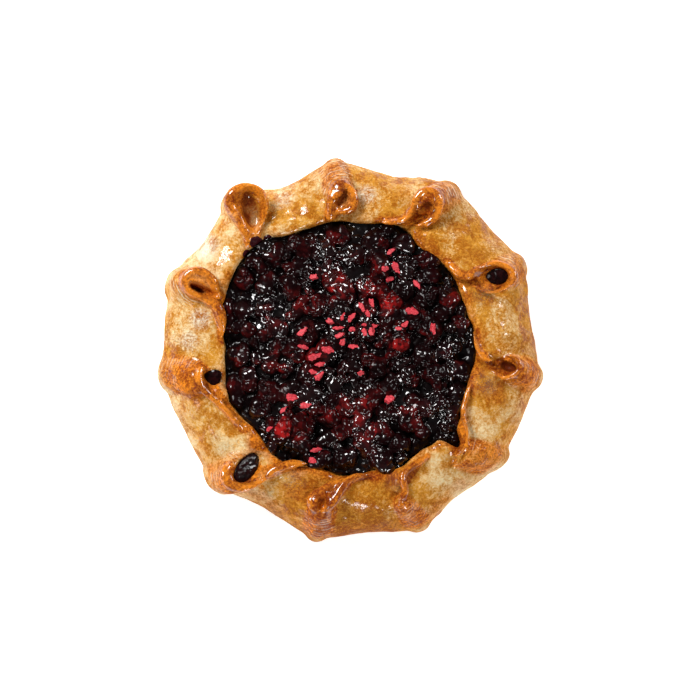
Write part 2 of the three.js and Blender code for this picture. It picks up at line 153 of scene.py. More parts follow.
def within(spots: np.ndarray, ring: np.ndarray) -> np.ndarray:
    """Which spots a closed line on the plan goes round.

    Args:
        spots: Places as x and y, one row each.
        ring: The line's corners as x and y.

    Returns:
        1.0 for the spots inside, 0.0 for the others.
    """
    inside = np.zeros(len(spots), bool)
    for (ax, ay), (bx, by) in zip(ring, np.roll(ring, -1, axis=0)):
        if ay != by:
            crosses = (spots[:, 1] < ay) != (spots[:, 1] < by)
            inside ^= crosses & (spots[:, 0] < ax + (bx - ax) * (spots[:, 1] - ay) / (by - ay))
    return inside.astype(float)


def shares_away(points: np.ndarray, spots: Sequence[Spot]) -> np.ndarray:
    """How far points are from the nearest of some spots.

    Args:
        points: The points, one row each.
        spots: The spots.

    Returns:
        The distances in shares of the spots' reach.
    """
    return np.min([np.hypot(points[:, 0] - x, points[:, 1] - y) / reach
                   for x, y, reach in spots], axis=0)


def marked(points: np.ndarray, marks: Sequence[Mark], full: float) -> np.ndarray:
    """How strongly points are marked.

    Args:
        points: The points, one row each.
        marks: The marks, each fading out at its reach.
        full: Share of the reach inside which a mark has its full strength.

    Returns:
        The strength at every point.
    """
    total = np.zeros(len(points))
    for x, y, reach, strength in marks:
        away = np.hypot(points[:, 0] - x, points[:, 1] - y)
        total = np.maximum(total, strength * ramp(away, reach, full * reach))
    return total


def soft_noise(points: np.ndarray, size: float, seed: Point) -> np.ndarray:
    """Smooth noise between about -1 and 1.

    Args:
        points: Where it is asked for, one row each.
        size: Distance between two bumps in millimetres.
        seed: Shift of the pattern.

    Returns:
        The noise at every point.
    """
    shift = Vector(seed)
    return np.array([noise.noise(Vector(point) / size + shift) for point in points])


class Draw:
    """The seeded draws that the solids use too, so that both lay the fruit the same way."""

    MULTIPLIER = 16807
    MODULUS = 2147483647

    def __init__(self, seed: int) -> None:
        """Starts the draws from a seed."""
        self.state = seed

    def __call__(self) -> float:
        """The next number between 0 and 1."""
        self.state = self.state * self.MULTIPLIER % self.MODULUS
        return self.state / self.MODULUS


@dataclass(frozen=True)
class RoundTable:
    """A smooth value round the galette from knots (bearing, value), eased between neighbours."""

    knots: tuple[Pair, ...]

    def __call__(self, bearing: np.ndarray | float) -> np.ndarray:
        """The value at each bearing.

        Args:
            bearing: One or more bearings in degrees.

        Returns:
            The value at each of them.
        """
        ordered = sorted((at % 360, value) for at, value in self.knots)
        first, last = ordered[0], ordered[-1]
        wrapped = [(last[0] - 360, last[1]), *ordered, (first[0] + 360, first[1])]
        places = np.array([at for at, _ in wrapped])
        values = np.array([value for _, value in wrapped])
        turn = np.mod(bearing, 360)
        after = np.clip(np.searchsorted(places, turn, side="right"), 1, len(places) - 1)
        share = (turn - places[after - 1]) / (places[after] - places[after - 1])
        eased = (1 - np.cos(np.pi * share)) / 2
        return values[after - 1] + (values[after] - values[after - 1]) * eased


@dataclass(frozen=True)
class SmoothLine:
    """A smooth curve through points."""

    points: tuple[Point, ...]
    steps_per_span: int = 16

    def samples(self, count: int) -> np.ndarray:
        """Points at even distances along the curve.

        Args:
            count: How many points are wanted, both ends included.

        Returns:
            The points, one row each.
        """
        given = np.array(self.points, float)
        padded = np.vstack([2 * given[0] - given[1], given, 2 * given[-1] - given[-2]])
        shares = np.linspace(0, 1, self.steps_per_span, endpoint=False)[:, None]
        spans = []
        for a, b, c, d in zip(padded[:-3], padded[1:-2], padded[2:-1], padded[3:]):
            spans.append(0.5 * (2 * b + (c - a) * shares + (2 * a - 5 * b + 4 * c - d) * shares ** 2
                                + (3 * b - a - 3 * c + d) * shares ** 3))
        dense = np.vstack([*spans, given[-1:]])
        walked = np.concatenate([[0], np.cumsum(np.linalg.norm(np.diff(dense, axis=0), axis=1))])
        wanted = np.linspace(0, walked[-1], count)
        return np.stack([np.interp(wanted, walked, dense[:, axis]) for axis in range(3)], axis=1)


# ---------------------------------------------------------------- modelling, as by hand


class Cut(Enum):
    """How a second solid changes the first."""

    CARVE = "DIFFERENCE"
    KEEP = "INTERSECT"


def deselect_all() -> None:
    """Leaves nothing selected."""
    bpy.ops.object.select_all(action="DESELECT")


def take(*pieces: bpy.types.Object) -> None:
    """Selects only these pieces and makes the first one active.

    Args:
        *pieces: The pieces.
    """
    deselect_all()
    for piece in pieces:
        piece.select_set(True)
    bpy.context.view_layer.objects.active = pieces[0]


@contextmanager
def editing(piece: bpy.types.Object, chosen: np.ndarray | None = None) -> Iterator[None]:
    """Holds a piece in edit mode.

    Args:
        piece: The piece.
        chosen: For every point whether it is selected, or None for all of them.
    """
    take(piece)
    bpy.ops.object.mode_set(mode="EDIT")
    bpy.ops.mesh.select_mode(type="VERT")
    bpy.ops.mesh.select_all(action="SELECT" if chosen is None else "DESELECT")
    if chosen is not None:
        bpy.ops.object.mode_set(mode="OBJECT")
        piece.data.vertices.foreach_set("select", chosen)
        bpy.ops.object.mode_set(mode="EDIT")
    yield
    bpy.ops.object.mode_set(mode="OBJECT")


def vectors_in(values: bpy.types.bpy_prop_collection, name: str) -> np.ndarray:
    """Reads one vector from every item of a mesh.

    Args:
        values: The mesh's items.
        name: What is read from each.

    Returns:
        The vectors, one row each.
    """
    flat = np.empty(len(values) * 3, np.float32)
    values.foreach_get(name, flat)
    return flat.reshape(-1, 3).astype(float)


def points_of(piece: bpy.types.Object) -> np.ndarray:
    """The piece's points in millimetres, one row each."""
    return vectors_in(piece.data.vertices, "co") / MM


def put_points(piece: bpy.types.Object, points: np.ndarray) -> None:
    """Moves the piece's points to these places in millimetres."""
    piece.data.vertices.foreach_set("co", (points * MM).astype(np.float32).ravel())
    piece.data.update()


def outward_of(piece: bpy.types.Object) -> np.ndarray:
    """The direction in which the surface faces at every point."""
    return vectors_in(piece.data.vertex_normals, "vector")


def loft(name: str, rings: np.ndarray) -> bpy.types.Object:
    """A closed skin over rings of points, made from a grid that is rolled up.

    Args:
        name: Name of the new piece.
        rings: The rings in millimetres, shaped (rings, points in a ring, 3).

    Returns:
        The new piece, its ends closed and its faces outwards.
    """
    count, around = rings.shape[:2]
    deselect_all()
    bpy.ops.mesh.primitive_grid_add(x_subdivisions=around, y_subdivisions=count - 1, size=1.0)
    piece = bpy.context.active_object
    piece.name = name
    put_points(piece, np.concatenate([rings, rings[:, :1]], axis=1).reshape(-1, 3))
    with editing(piece):
        bpy.ops.mesh.remove_doubles(threshold=1e-7)
        bpy.ops.mesh.fill_holes(sides=0)
        bpy.ops.mesh.normals_make_consistent(inside=False)
    return piece


def round_the_line(centres: np.ndarray, across: np.ndarray, halves: np.ndarray,
                   around: int) -> np.ndarray:
    """Oval rings square to a line.

    Args:
        centres: Points along the line.
        across: Roughly level direction of the rings' first half size, one or one for each.
        halves: The two half sizes of each ring.
        around: Points in a ring.

    Returns:
        The rings, shaped (rings, around, 3).
    """
    tangents = unit(np.gradient(centres, axis=0))
    across = np.broadcast_to(across, centres.shape)
    sideways = unit(across - (across * tangents).sum(1, keepdims=True) * tangents)
    lift = np.cross(sideways, tangents)
    turn = np.linspace(0, 2 * np.pi, around, endpoint=False)
    wide = np.cos(turn)[None, :, None] * sideways[:, None] * halves[:, None, :1]
    tall = np.sin(turn)[None, :, None] * lift[:, None] * halves[:, None, 1:]
    return centres[:, None] + wide + tall


def join(*pieces: bpy.types.Object) -> bpy.types.Object:
    """Makes one piece of several.

    Args:
        *pieces: The pieces, which are used up apart from the first.

    Returns:
        The first piece, which has become the whole.
    """
    take(*pieces)
    bpy.ops.object.join()
    return pieces[0]


def apply_modifier(piece: bpy.types.Object, kind: str, **settings: object) -> None:
    """Adds a modifier with its settings and applies it at once.

    Args:
        piece: The piece it shapes.
        kind: The modifier's type.
        **settings: Its settings by name.
    """
    take(piece)
    bpy.ops.object.modifier_add(type=kind)
    modifier = piece.modifiers[-1]
    for key, value in settings.items():
        setattr(modifier, key, value)
    bpy.ops.object.modifier_apply(modifier=modifier.name)


def knead(piece: bpy.types.Object, voxel: float) -> None:
    """Melts overlapping shells into one skin of even small faces, voxel millimetres wide."""
    apply_modifier(piece, "REMESH", mode="VOXEL", voxel_size=voxel * MM, adaptivity=0.0)


def soften(piece: bpy.types.Object, passes: int, factor: float = 0.5) -> None:
    """Eases the surface by so many passes of smoothing."""
    apply_modifier(piece, "SMOOTH", factor=factor, iterations=passes)


def cut(piece: bpy.types.Object, tool: bpy.types.Object, how: Cut) -> None:
    """Cuts one solid with another, which is used up.

    Args:
        piece: The solid that stays.
        tool: The solid that cuts.
        how: Whether the tool's space is carved away or kept.
    """
    apply_modifier(piece, "BOOLEAN", object=tool, operation=how.value, solver="MANIFOLD")
    bpy.data.objects.remove(tool)


def draw_open_edge(rise: float, flatten: bool = False) -> None:
    """Draws the open edge of the piece in edit mode up or down and closes it.

    Args:
        rise: How far up it goes in millimetres, negative for down.
        flatten: Whether all of the new edge is brought to one height.
    """
    bpy.ops.mesh.select_all(action="DESELECT")
    bpy.ops.mesh.select_mode(type="EDGE")
    bpy.ops.mesh.select_non_manifold(extend=False)
    bpy.ops.mesh.extrude_region_move(TRANSFORM_OT_translate={"value": (0, 0, rise * MM)})
    if flatten:
        bpy.ops.transform.resize(value=(1, 1, 0))
    bpy.ops.mesh.edge_face_add()
    bpy.ops.mesh.select_mode(type="VERT")


def set_on_floor(piece: bpy.types.Object, level: float, floor: float) -> None:
    """Cuts a solid off flat and draws its cut edge straight down to a floor.

    Args:
        piece: The solid.
        level: Height of the cut in millimetres.
        floor: Height of the new underside in millimetres.
    """
    with editing(piece):
        bpy.ops.mesh.bisect(plane_co=(0, 0, level * MM), plane_no=(0, 0, 1), clear_inner=True,
                            threshold=1e-6)
        draw_open_edge(floor - level)
        bpy.ops.mesh.select_all(action="SELECT")
        bpy.ops.mesh.normals_make_consistent(inside=False)
    points = points_of(piece)
    points[points[:, 2] < floor + 0.1, 2] = floor
    put_points(piece, points)


def uneven(piece: bpy.types.Object, size: float, amount: float, seed: Point,
           share: np.ndarray | float = 1.0) -> None:
    """Pushes the surface in and out as hand-made dough or fruit is.

    Args:
        piece: The piece.
        size: Distance between two bumps in millimetres.
        amount: How far the surface moves at most, in millimetres.
        seed: Shift of the pattern, so that no two layers fall together.
        share: How much of the amount each point takes.
    """
    points = points_of(piece)
    heights = soft_noise(points, size, seed)
    put_points(piece, points + outward_of(piece) * (heights * amount * share)[:, None])


def lumps(points: np.ndarray, size: float, seed: int) -> tuple[np.ndarray, np.ndarray]:
    """Packed round lumps, as drupelets and broken fruit make them.

    Args:
        points: Where the pattern is asked for, one row each.
        size: Distance between two lumps in millimetres.
        seed: Which of many such patterns it is.

    Returns:
        How far up the nearest lump each point is, from 0 in the creases to 1, and a chance number
        between 0 and 1 that all points of one lump share.
    """
    cells = np.floor(points / size).astype(np.int64)
    best = np.full(len(points), 9.0)
    chance = np.zeros(len(points))
    for step in np.ndindex(3, 3, 3):
        cell = cells + np.array(step) - 1
        mixed = (cell * np.array([73856093, 19349663, 83492791])).sum(1) + seed * 7919
        mixed %= Draw.MODULUS
        draws = []
        for _ in range(4):
            mixed = (mixed ^ (mixed >> 11)) * 48271 % Draw.MODULUS
            draws.append((mixed >> 4 & 0xFFFF) / 0xFFFF)
        gap = np.linalg.norm(points / size - cell - np.stack(draws[:3], axis=1), axis=1)
        closer = gap < best
        best = np.where(closer, gap, best)
        chance = np.where(closer, draws[3], chance)
    return np.sqrt(np.maximum(0, 1 - (best / 0.85) ** 2)), chance


def write_on(piece: bpy.types.Object, **layers: np.ndarray) -> None:
    """Stores numbers on the points, for the piece's material to read.

    Args:
        piece: The piece.
        **layers: One number for every point, by the name of the layer.
    """
    for name, values in layers.items():
        layer = piece.data.attributes.new(name, "FLOAT", "POINT")
        layer.data.foreach_set("value", values.astype(np.float32))


def cover(piece: bpy.types.Object, material: bpy.types.Material) -> None:
    """Gives a piece this material alone."""
    piece.data.materials.clear()
    piece.data.materials.append(material)


def stands_for(piece: bpy.types.Object, nodes: Iterable[str]) -> None:
    """Smooth-shades a finished piece and fits it into the frame.

    Args:
        piece: The finished piece.
        nodes: The CAD nodes that it replaces.
    """
    take(piece)
    bpy.ops.object.shade_smooth()
    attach(piece, "root")
    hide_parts(*nodes)
    LOG.info("%s: %d faces", piece.name, len(piece.data.polygons))


# ---------------------------------------------------------------- the plan of the galette


@dataclass(frozen=True)
class Hollow:
    """An oval hollow: the middle of its opening, the way it faces, and its clear half sizes.

    lobed: how far it is drawn out to three soft corners.
    """

    mouth: np.ndarray
    outward: np.ndarray
    side: np.ndarray
    half: Pair
    depth: float
    lobed: float = 0.0

    def holds(self, points: np.ndarray) -> tuple[np.ndarray, np.ndarray]:
        """Where points lie in the hollow.

        Args:
            points: The points, one row each.

        Returns:
            How far each is from the hollow's axis, in shares of its half sizes, and how deep
            under the opening, in millimetres.
        """
        away = points - self.mouth
        lift = np.cross(self.side, self.outward)
        return (np.hypot(away @ self.side / self.half[0], away @ lift / self.half[1]),
                -(away @ self.outward))


@dataclass(frozen=True)
class Pleat:
    """One gathered fold of the rim. Angles in degrees, lengths in millimetres.

    foot: where the pleat meets the worktop. mouth: middle of its open end and its height.
    pinch: the point on the rim where it begins. tilt: how far the mouth leans inwards. half: half
    width and half length of the mouth with its lips. depth: of the hollow, 0 if shut. facing:
    bearing that the mouth opens towards, where that isn't the pinch. sway: how far the stem bows
    to its right. jam: how far under the lips the filling stands in the hollow. lip: the dough's
    rolled edge, from the rim round the mouth, as x, y and height of its middle. lip_half: half
    its thickness. slit, slit_at, slit_turn: clear half sizes of the hollow, how far out and to
    the right it lies, and how far it is turned. bake: how brown the horn is. foot_half: half
    width and half depth of the horn at the worktop. stem_sunk: how far the pressed stem between
    mouth and rim lies under the lips. plug: how far dough fills the mouth out over its plane.
    rings: how strongly stretch lines show round the horn. lip_bake: how brown the lips are.
    soft: whether the hollow is only a dip that the dough has closed under. inner_bake: how brown
    the dough is inside the lips.
    """

    foot: Pair
    mouth: Point
    pinch: Pair
    tilt: float
    half: Pair
    depth: float
    sway: float
    lip: tuple[Point, ...]
    facing: float | None = None
    jam: float | None = None
    lip_half: float = 2.4
    slit: Pair = (0.0, 0.0)
    slit_at: Pair = (0.0, 0.0)
    slit_turn: float = 0.0
    bake: float = 0.5
    foot_half: Pair = (12.0, 8.0)
    stem_sunk: float = 0.6
    plug: float = 0.0
    rings: float = 0.8
    lip_bake: float = 1.0
    soft: bool = False
    inner_bake: float = 1.0

    def line(self, shares: Sequence[float] | np.ndarray) -> np.ndarray:
        """The line the pleat follows: straight up at its foot, then over towards its mouth.

        Args:
            shares: Shares of the way from foot to mouth.

        Returns:
            The points, one row each.
        """
        foot = polar(self.foot[0], self.foot[1] - self.foot_half[1])
        mouth = polar(*self.mouth)
        run = np.hypot(*(mouth - foot)[:2])
        bend = foot.copy()
        bend[2] = max(mouth[2] - run / math.tan(math.radians(self.tilt)), 0.3 * mouth[2])
        return arched(foot, bend, mouth, np.asarray(shares, float)[:, None])

    def heading(self) -> np.ndarray:
        """The level direction that the mouth leans towards.

        Returns:
            The direction at length one.
        """
        if self.facing is not None:
            return polar(self.facing, 1.0)
        return unit(polar(*self.pinch) - polar(*self.mouth[:2]))

    def whole(self) -> Hollow:
        """The whole mouth, its lips included, as a hollow.

        Returns:
            The mouth.
        """
        ends = self.line([0.98, 1.0])
        side = unit(np.cross(self.heading(), UP))
        return Hollow(polar(*self.mouth), unit(ends[1] - ends[0]), side, self.half, self.depth)

    def hollow(self) -> Hollow:
        """The hollow of the open pleat, turned and set where the dough's lips leave it.

        Returns:
            The hollow.
        """
        whole, heading = self.whole(), self.heading()
        turn = math.radians(self.slit_turn)
        turned = unit(whole.side * math.cos(turn) + heading * math.sin(turn))
        mouth = whole.mouth - heading * self.slit_at[0] + whole.side * self.slit_at[1]
        return Hollow(mouth, whole.outward, turned, self.slit, self.depth)


@dataclass(frozen=True)
class Panel:
    """The plain stretch of dough after a pleat: its radii and rim height at its middle."""

    wall: float
    rim: float
    height: float


PLEATS: tuple[Pleat, ...] = (
    Pleat(foot=(26.8, 107.8), mouth=(26.2, 89.2, 30.5), pinch=(37.0, 69.0), tilt=24,
          half=(7.2, 9.6), depth=9, slit=(4.4, 6.5), slit_at=(-1.0, 0.0), slit_turn=8, jam=1.4,
          sway=3.5, foot_half=(10.0, 8.0), bake=0.5, rings=0.7,
          lip=((52.6, 46.4, 28.4), (56.7, 42.4, 28.8), (61.0, 39.8, 29.2), (64.8, 40.0, 29.8),
               (69.7, 42.7, 30.4), (74.5, 45.6, 31.0), (79.9, 46.6, 31.6), (84.8, 44.8, 32.4),
               (88.2, 41.0, 32.8), (86.4, 36.5, 32.2), (81.5, 33.3, 31.2), (76.1, 32.2, 30.4),
               (70.2, 33.5, 29.6), (65.0, 35.6, 28.8))),
    Pleat(foot=(57.8, 109.2), mouth=(62.2, 89.4, 31.5), pinch=(69.0, 72.0), tilt=44,
          half=(7.4, 8.2), depth=1.8, soft=True, slit=(1.6, 4.0), slit_at=(-0.6, -3.2),
          slit_turn=24, plug=2.3, sway=3, foot_half=(9.0, 8.0), lip_half=2.4, bake=0.7, rings=0.7,
          lip=((16.4, 69.0, 28.6), (22.7, 68.8, 29.0), (28.1, 69.4, 29.6), (31.3, 72.0, 30.2),
               (34.0, 76.7, 31.0), (35.1, 81.0, 32.2), (37.8, 84.4, 33.8), (42.1, 86.0, 34.8),
               (45.9, 84.4, 34.6), (48.2, 80.5, 33.6), (48.1, 75.6, 32.0), (45.4, 71.3, 30.4),
               (40.0, 68.2, 29.2), (34.0, 67.2, 28.4))),
    Pleat(foot=(95.0, 107.2), mouth=(93.2, 83.4, 31.7), pinch=(99.0, 71.0), tilt=60,
          half=(7.0, 7.4), depth=1.4, soft=True, slit=(1.5, 3.4), slit_at=(2.2, 1.4), slit_turn=-26,
          plug=2.1, sway=0, stem_sunk=-0.8, foot_half=(7.0, 8.0), lip_half=2.3, bake=0.75,
          rings=0.8,
          lip=((-11.0, 69.6, 28.6), (-10.6, 74.5, 29.8), (-10.4, 79.4, 31.6), (-9.2, 84.0, 33.6),
               (-6.5, 87.6, 35.2), (-2.4, 88.6, 35.6), (0.9, 86.2, 34.8), (2.4, 81.8, 32.8),
               (1.6, 77.4, 31.0), (-1.8, 75.2, 30.4), (-6.2, 74.4, 30.2))),
    Pleat(foot=(127.0, 108.6), mouth=(125.1, 95.6, 31.0), pinch=(130.8, 76.6), tilt=12,
          half=(10.8, 11.4), depth=4.6, soft=True, slit=(4.4, 9.6), slit_at=(-3.4, -0.8), sway=0,
          stem_sunk=3.4, lip_half=3.1, bake=0.15, rings=0.3, lip_bake=0.65, inner_bake=0.15,
          lip=((-53.6, 57.4, 28.8), (-54.6, 61.6, 29.4), (-57.8, 67.0, 30.0), (-61.6, 72.9, 30.4),
               (-64.6, 78.3, 31.0), (-64.0, 83.4, 32.0), (-59.9, 87.2, 33.0), (-55.1, 88.3, 33.4),
               (-50.2, 86.6, 33.0), (-47.0, 82.6, 32.2), (-45.9, 77.8, 31.2), (-47.5, 72.4, 30.2),
               (-50.4, 66.4, 29.2), (-52.2, 61.6, 28.4))),
    Pleat(foot=(159.2, 108.6), mouth=(157.0, 89.4, 30.5), pinch=(157.6, 74.5), tilt=28,
          half=(8.2, 10.6), facing=330, depth=8, slit=(1.3, 6.2), slit_at=(-1.8, 1.4), slit_turn=4,
          plug=1.0, sway=1, foot_half=(11.0, 8.0), lip_half=2.7, bake=0.35, rings=1.0,
          lip=((-68.2, 7.0, 26.4), (-68.6, 12.6, 27.8), (-69.6, 18.0, 29.0), (-71.4, 22.4, 29.8),
               (-75.0, 25.8, 30.4), (-80.0, 28.6, 31.0), (-84.6, 30.8, 31.8), (-88.0, 34.0, 32.4),
               (-89.0, 38.0, 32.8), (-86.8, 41.4, 32.6), (-82.6, 42.6, 32.0), (-78.2, 41.2, 31.4),
               (-74.8, 38.0, 30.8), (-72.8, 33.8, 30.0), (-72.4, 29.6, 29.2))),
    Pleat(foot=(186.8, 107.4), mouth=(191.6, 82.6, 30.0), pinch=(201.6, 71.0), tilt=62,
          half=(8.8, 6.4), facing=352, depth=0, plug=0.8, sway=-1, lip_half=2.0, bake=1.0,
          rings=0.3,
          lip=((-57.6, -42.4, 27.8), (-62.0, -37.6, 28.4), (-67.0, -32.4, 29.2),
               (-72.4, -27.6, 30.0), (-76.9, -23.4, 30.8), (-80.6, -19.0, 31.8),
               (-82.0, -14.0, 32.2), (-80.6, -10.0, 31.4), (-77.6, -8.4, 30.0))),
    Pleat(foot=(224.4, 107.4), mouth=(228.6, 87.0, 30.2), pinch=(239.6, 72.0), tilt=14,
          half=(9.4, 12.2), facing=56, depth=10, slit=(5.4, 10.2), slit_at=(-2.8, 1.3),
          slit_turn=-6, jam=1.4, sway=2.5, lip_half=2.5, bake=0.55, rings=0.5,
          lip=((-22.0, -61.6, 28.2), (-28.0, -61.4, 28.8), (-34.0, -62.2, 29.4),
               (-41.0, -65.0, 30.0), (-46.4, -68.8, 30.6), (-51.8, -72.4, 31.2),
               (-57.2, -74.2, 31.8), (-62.6, -73.2, 32.0), (-66.8, -70.2, 31.8),
               (-68.0, -66.0, 31.2), (-67.0, -63.0, 30.0))),
    Pleat(foot=(259.8, 108.4), mouth=(260.0, 84.8, 31.2), pinch=(268.6, 68.0), tilt=48,
          half=(6.8, 6.8), depth=1.6, soft=True, slit=(1.6, 1.8), slit_at=(3.4, 1.6), plug=3.4,
          sway=1.5, stem_sunk=-1.4, foot_half=(7.4, 8.0), bake=0.95, rings=0.35,
          lip=((12.0, -67.2, 28.4), (6.5, -67.6, 28.8), (1.1, -69.0, 29.4), (-3.2, -72.4, 30.2),
               (-6.5, -77.2, 31.2), (-9.2, -81.8, 32.4), (-12.2, -85.0, 33.4), (-16.2, -85.8, 33.8),
               (-19.8, -84.6, 33.0), (-20.9, -81.3, 31.8), (-18.9, -78.3, 30.6),
               (-14.6, -75.6, 29.8), (-9.7, -72.4, 29.0), (-5.9, -70.0, 28.4))),
    Pleat(foot=(291.6, 108.6), mouth=(287.8, 85.4, 31.0), pinch=(291.6, 70.0), tilt=58,
          half=(5.4, 4.6), depth=0, sway=0, foot_half=(8.4, 8.0), lip_half=1.7, bake=1.0, rings=0.3,
          lip=((42.0, -57.6, 28.2), (36.7, -61.0, 28.8), (31.6, -64.2, 29.8), (28.6, -67.8, 31.2),
               (28.8, -71.6, 32.6), (29.6, -75.4, 33.6), (28.6, -79.2, 33.8), (25.8, -81.6, 32.6))),
    Pleat(foot=(322.2, 105.6), mouth=(317.0, 83.0, 29.5), pinch=(317.8, 80.0), tilt=66,
          half=(9.6, 6.0), facing=110, depth=0, sway=0, stem_sunk=2.4, lip_half=1.6, bake=0.9,
          rings=0.3,
          lip=((64.6, -19.0, 28.8), (62.6, -25.9, 29.6), (61.2, -32.4, 30.6), (61.6, -37.8, 31.6),
               (62.8, -42.1, 32.4), (63.4, -46.4, 32.8), (62.4, -50.6, 32.6), (60.2, -54.4, 31.6),
               (57.2, -57.2, 30.0), (54.4, -57.0, 28.2))),
    Pleat(foot=(351.2, 106.8), mouth=(353.8, 87.8, 31.0), pinch=(357.4, 68.0), tilt=36,
          half=(7.2, 8.0), depth=7, slit=(2.4, 6.0), slit_at=(-2.8, 0.4), sway=3, stem_sunk=0.2,
          foot_half=(10.0, 8.0), lip_half=1.8, bake=0.75, rings=0.4,
          lip=((66.6, 12.0, 28.4), (67.2, 6.5, 28.8), (69.0, 0.4, 29.4), (72.4, -4.0, 30.2),
               (76.1, -5.8, 31.0), (80.5, -5.2, 32.2), (84.8, -3.8, 33.2), (88.8, -4.2, 33.9),
               (91.3, -7.6, 34.0), (90.4, -11.5, 33.6), (86.9, -14.2, 32.8), (82.6, -14.8, 31.8),
               (78.3, -12.4, 30.8), (74.5, -9.7, 29.8))),
)

PANELS: tuple[Panel, ...] = (
    Panel(102.8, 68.2, 28.6), Panel(98.8, 69.6, 28.8), Panel(97.4, 69.4, 29.2),
    Panel(101.2, 76.2, 28.2), Panel(102.8, 67.6, 28.6), Panel(101.8, 67.0, 28.8),
    Panel(99.2, 65.8, 28.0), Panel(101.6, 67.2, 28.2), Panel(100.0, 66.8, 28.4),
    Panel(102.6, 66.6, 28.6), Panel(101.2, 67.0, 28.4),
)


@dataclass(frozen=True)
class Plan:
    """The folded round as one set of measures, in millimetres and degrees."""

    pleats: tuple[Pleat, ...] = PLEATS
    panels: tuple[Panel, ...] = PANELS
    columns: int = 330
    gap: float = 0.4
    floor: float = 5.0
    dough_edge: float = 4.2
    foot_rounding: float = 2.6
    corner_setback: float = 3.0
    panel_shoulder: float = 1.9
    pleat_shoulder: float = 2.6
    pleat_spread: float = 7.0
    tuck_depth: float = 3.4
    tuck_reach: float = 6.0
    tuck_behind: float = 1.6
    tuck_inner_width: float = 3.4
    pinch_height: float = 29.4
    rim_notch: tuple[Pair, ...] = ((314.6, 68.2), (325.4, 71.8))
    funnel_depth: float = 2.6
    funnel_wider: float = 0.8
    side_hole: Point = (191.4, 75.6, 29.4)
    side_hole_half: Pair = (4.7, 4.9)
    side_hole_depth: float = 8.0
    side_hole_lobed: float = 0.12
    side_hole_jam: float = 1.4
    core_edge_height: float = 24.2
    core_mound: float = 1.6
    well_top: float = 60.0

    def bearings(self) -> np.ndarray:
        """Even bearings all the way round."""
        return np.linspace(0, 360, self.columns, endpoint=False)

    def well_rings(self, inset: float, bottom: float) -> np.ndarray:
        """The rings of the upright space inside the rim.

        Args:
            inset: How far it stays inside the rim.
            bottom: The height at which it starts.

        Returns:
            The rings.
        """
        bearings = self.bearings()
        rim = self.rim()(bearings) - inset
        levels = ((0.0, bottom), (1.0, bottom), (1.0, self.well_top), (0.0, self.well_top))
        return np.stack([polar(bearings, rim * share, height) for share, height in levels])

    @staticmethod
    def half_ways(knots: Sequence[Pair], values: Sequence[float]) -> tuple[Pair, ...]:
        """Adds a knot half way from each knot to the next one.

        Args:
            knots: Bearings and values, one for each pleat.
            values: The values half way, one for each panel.

        Returns:
            All knots.
        """
        after = [*knots[1:], knots[0]]
        added = [(here[0] + (there[0] - here[0]) % 360 / 2, value)
                 for here, there, value in zip(knots, after, values)]
        return (*knots, *added)

    def wall(self) -> RoundTable:
        """The radius at which the wall of dough stands."""
        feet = [(p.foot[0], p.foot[1] - self.corner_setback) for p in self.pleats]
        return RoundTable(self.half_ways(feet, [p.wall for p in self.panels]))

    def shoulder(self) -> RoundTable:
        """How square the dough's shoulder is.

        Returns:
            The power of its curve: 2 is an ellipse, more is squarer.
        """
        steps = ((-self.pleat_spread, self.panel_shoulder), (0.0, self.pleat_shoulder),
                 (self.pleat_spread, self.panel_shoulder))
        return RoundTable(tuple((pleat.foot[0] + by, power)
                                for pleat in self.pleats for by, power in steps))

    def rim(self) -> RoundTable:
        """The radius of the opening."""
        pinches = [p.pinch for p in self.pleats]
        return RoundTable(self.rim_notch + self.half_ways(pinches, [p.rim for p in self.panels]))

    def rim_height(self) -> RoundTable:
        """The height of the dough at the opening."""
        pinches = [(p.pinch[0], self.pinch_height) for p in self.pleats]
        return RoundTable(self.half_ways(pinches, [p.height for p in self.panels]))

    def top(self, bearing: np.ndarray, radius: np.ndarray) -> np.ndarray:
        """Height of the dough's upper side.

        Args:
            bearing: Bearings in degrees.
            radius: Radii from the rim out to the wall.

        Returns:
            The heights.
        """
        crown = self.rim()(bearing) + self.dough_edge
        outwards = np.clip((radius - crown) / (self.wall()(bearing) - crown), 0, 1)
        power = self.shoulder()(bearing)
        fall = (1 - outwards ** power) ** (1 / power)
        return self.foot_rounding + (self.rim_height()(bearing) - self.foot_rounding) * fall

    def tuck(self, bearing: np.ndarray, radius: np.ndarray) -> np.ndarray:
        """How far the dough is pressed in where a panel goes under the pleat on its left.

        Args:
            bearing: Bearings in degrees.
            radius: Radii from the rim out to the wall.

        Returns:
            The depths.
        """
        spots = polar(bearing, radius)[..., :2]
        depth = np.zeros(spots.shape[:-1])
        for pleat in self.pleats:
            inner, outer = polar(*pleat.pinch)[:2], polar(*pleat.foot)[:2]
            way = outer - inner
            length = float(np.hypot(*way))
            way = way / length
            left = np.array([-way[1], way[0]])
            along = (spots - inner) @ way / length
            aside = (spots - inner) @ left
            start = self.tuck_inner_width
            width = start + (0.8 * pleat.half[0] - start) * ramp(along, 0.0, 0.6)
            reach = np.where(aside < -width, self.tuck_reach, self.tuck_behind)
            shape = np.exp(-((aside + width) / reach) ** 2)
            depth = np.maximum(depth, shape * ramp(along, -0.25, 0.1) * ramp(along, 0.85, 0.5))
        return self.tuck_depth * depth

    def core_height(self, bearing: np.ndarray | float, radius: np.ndarray | float) -> np.ndarray:
        """Height of the cooked mass under the whole fruit.

        Args:
            bearing: Bearings in degrees.
            radius: Distances from the middle.

        Returns:
            The heights.
        """
        share = np.minimum(1.0, radius / self.rim()(bearing))
        return self.core_edge_height + self.core_mound * (1 - share * share)

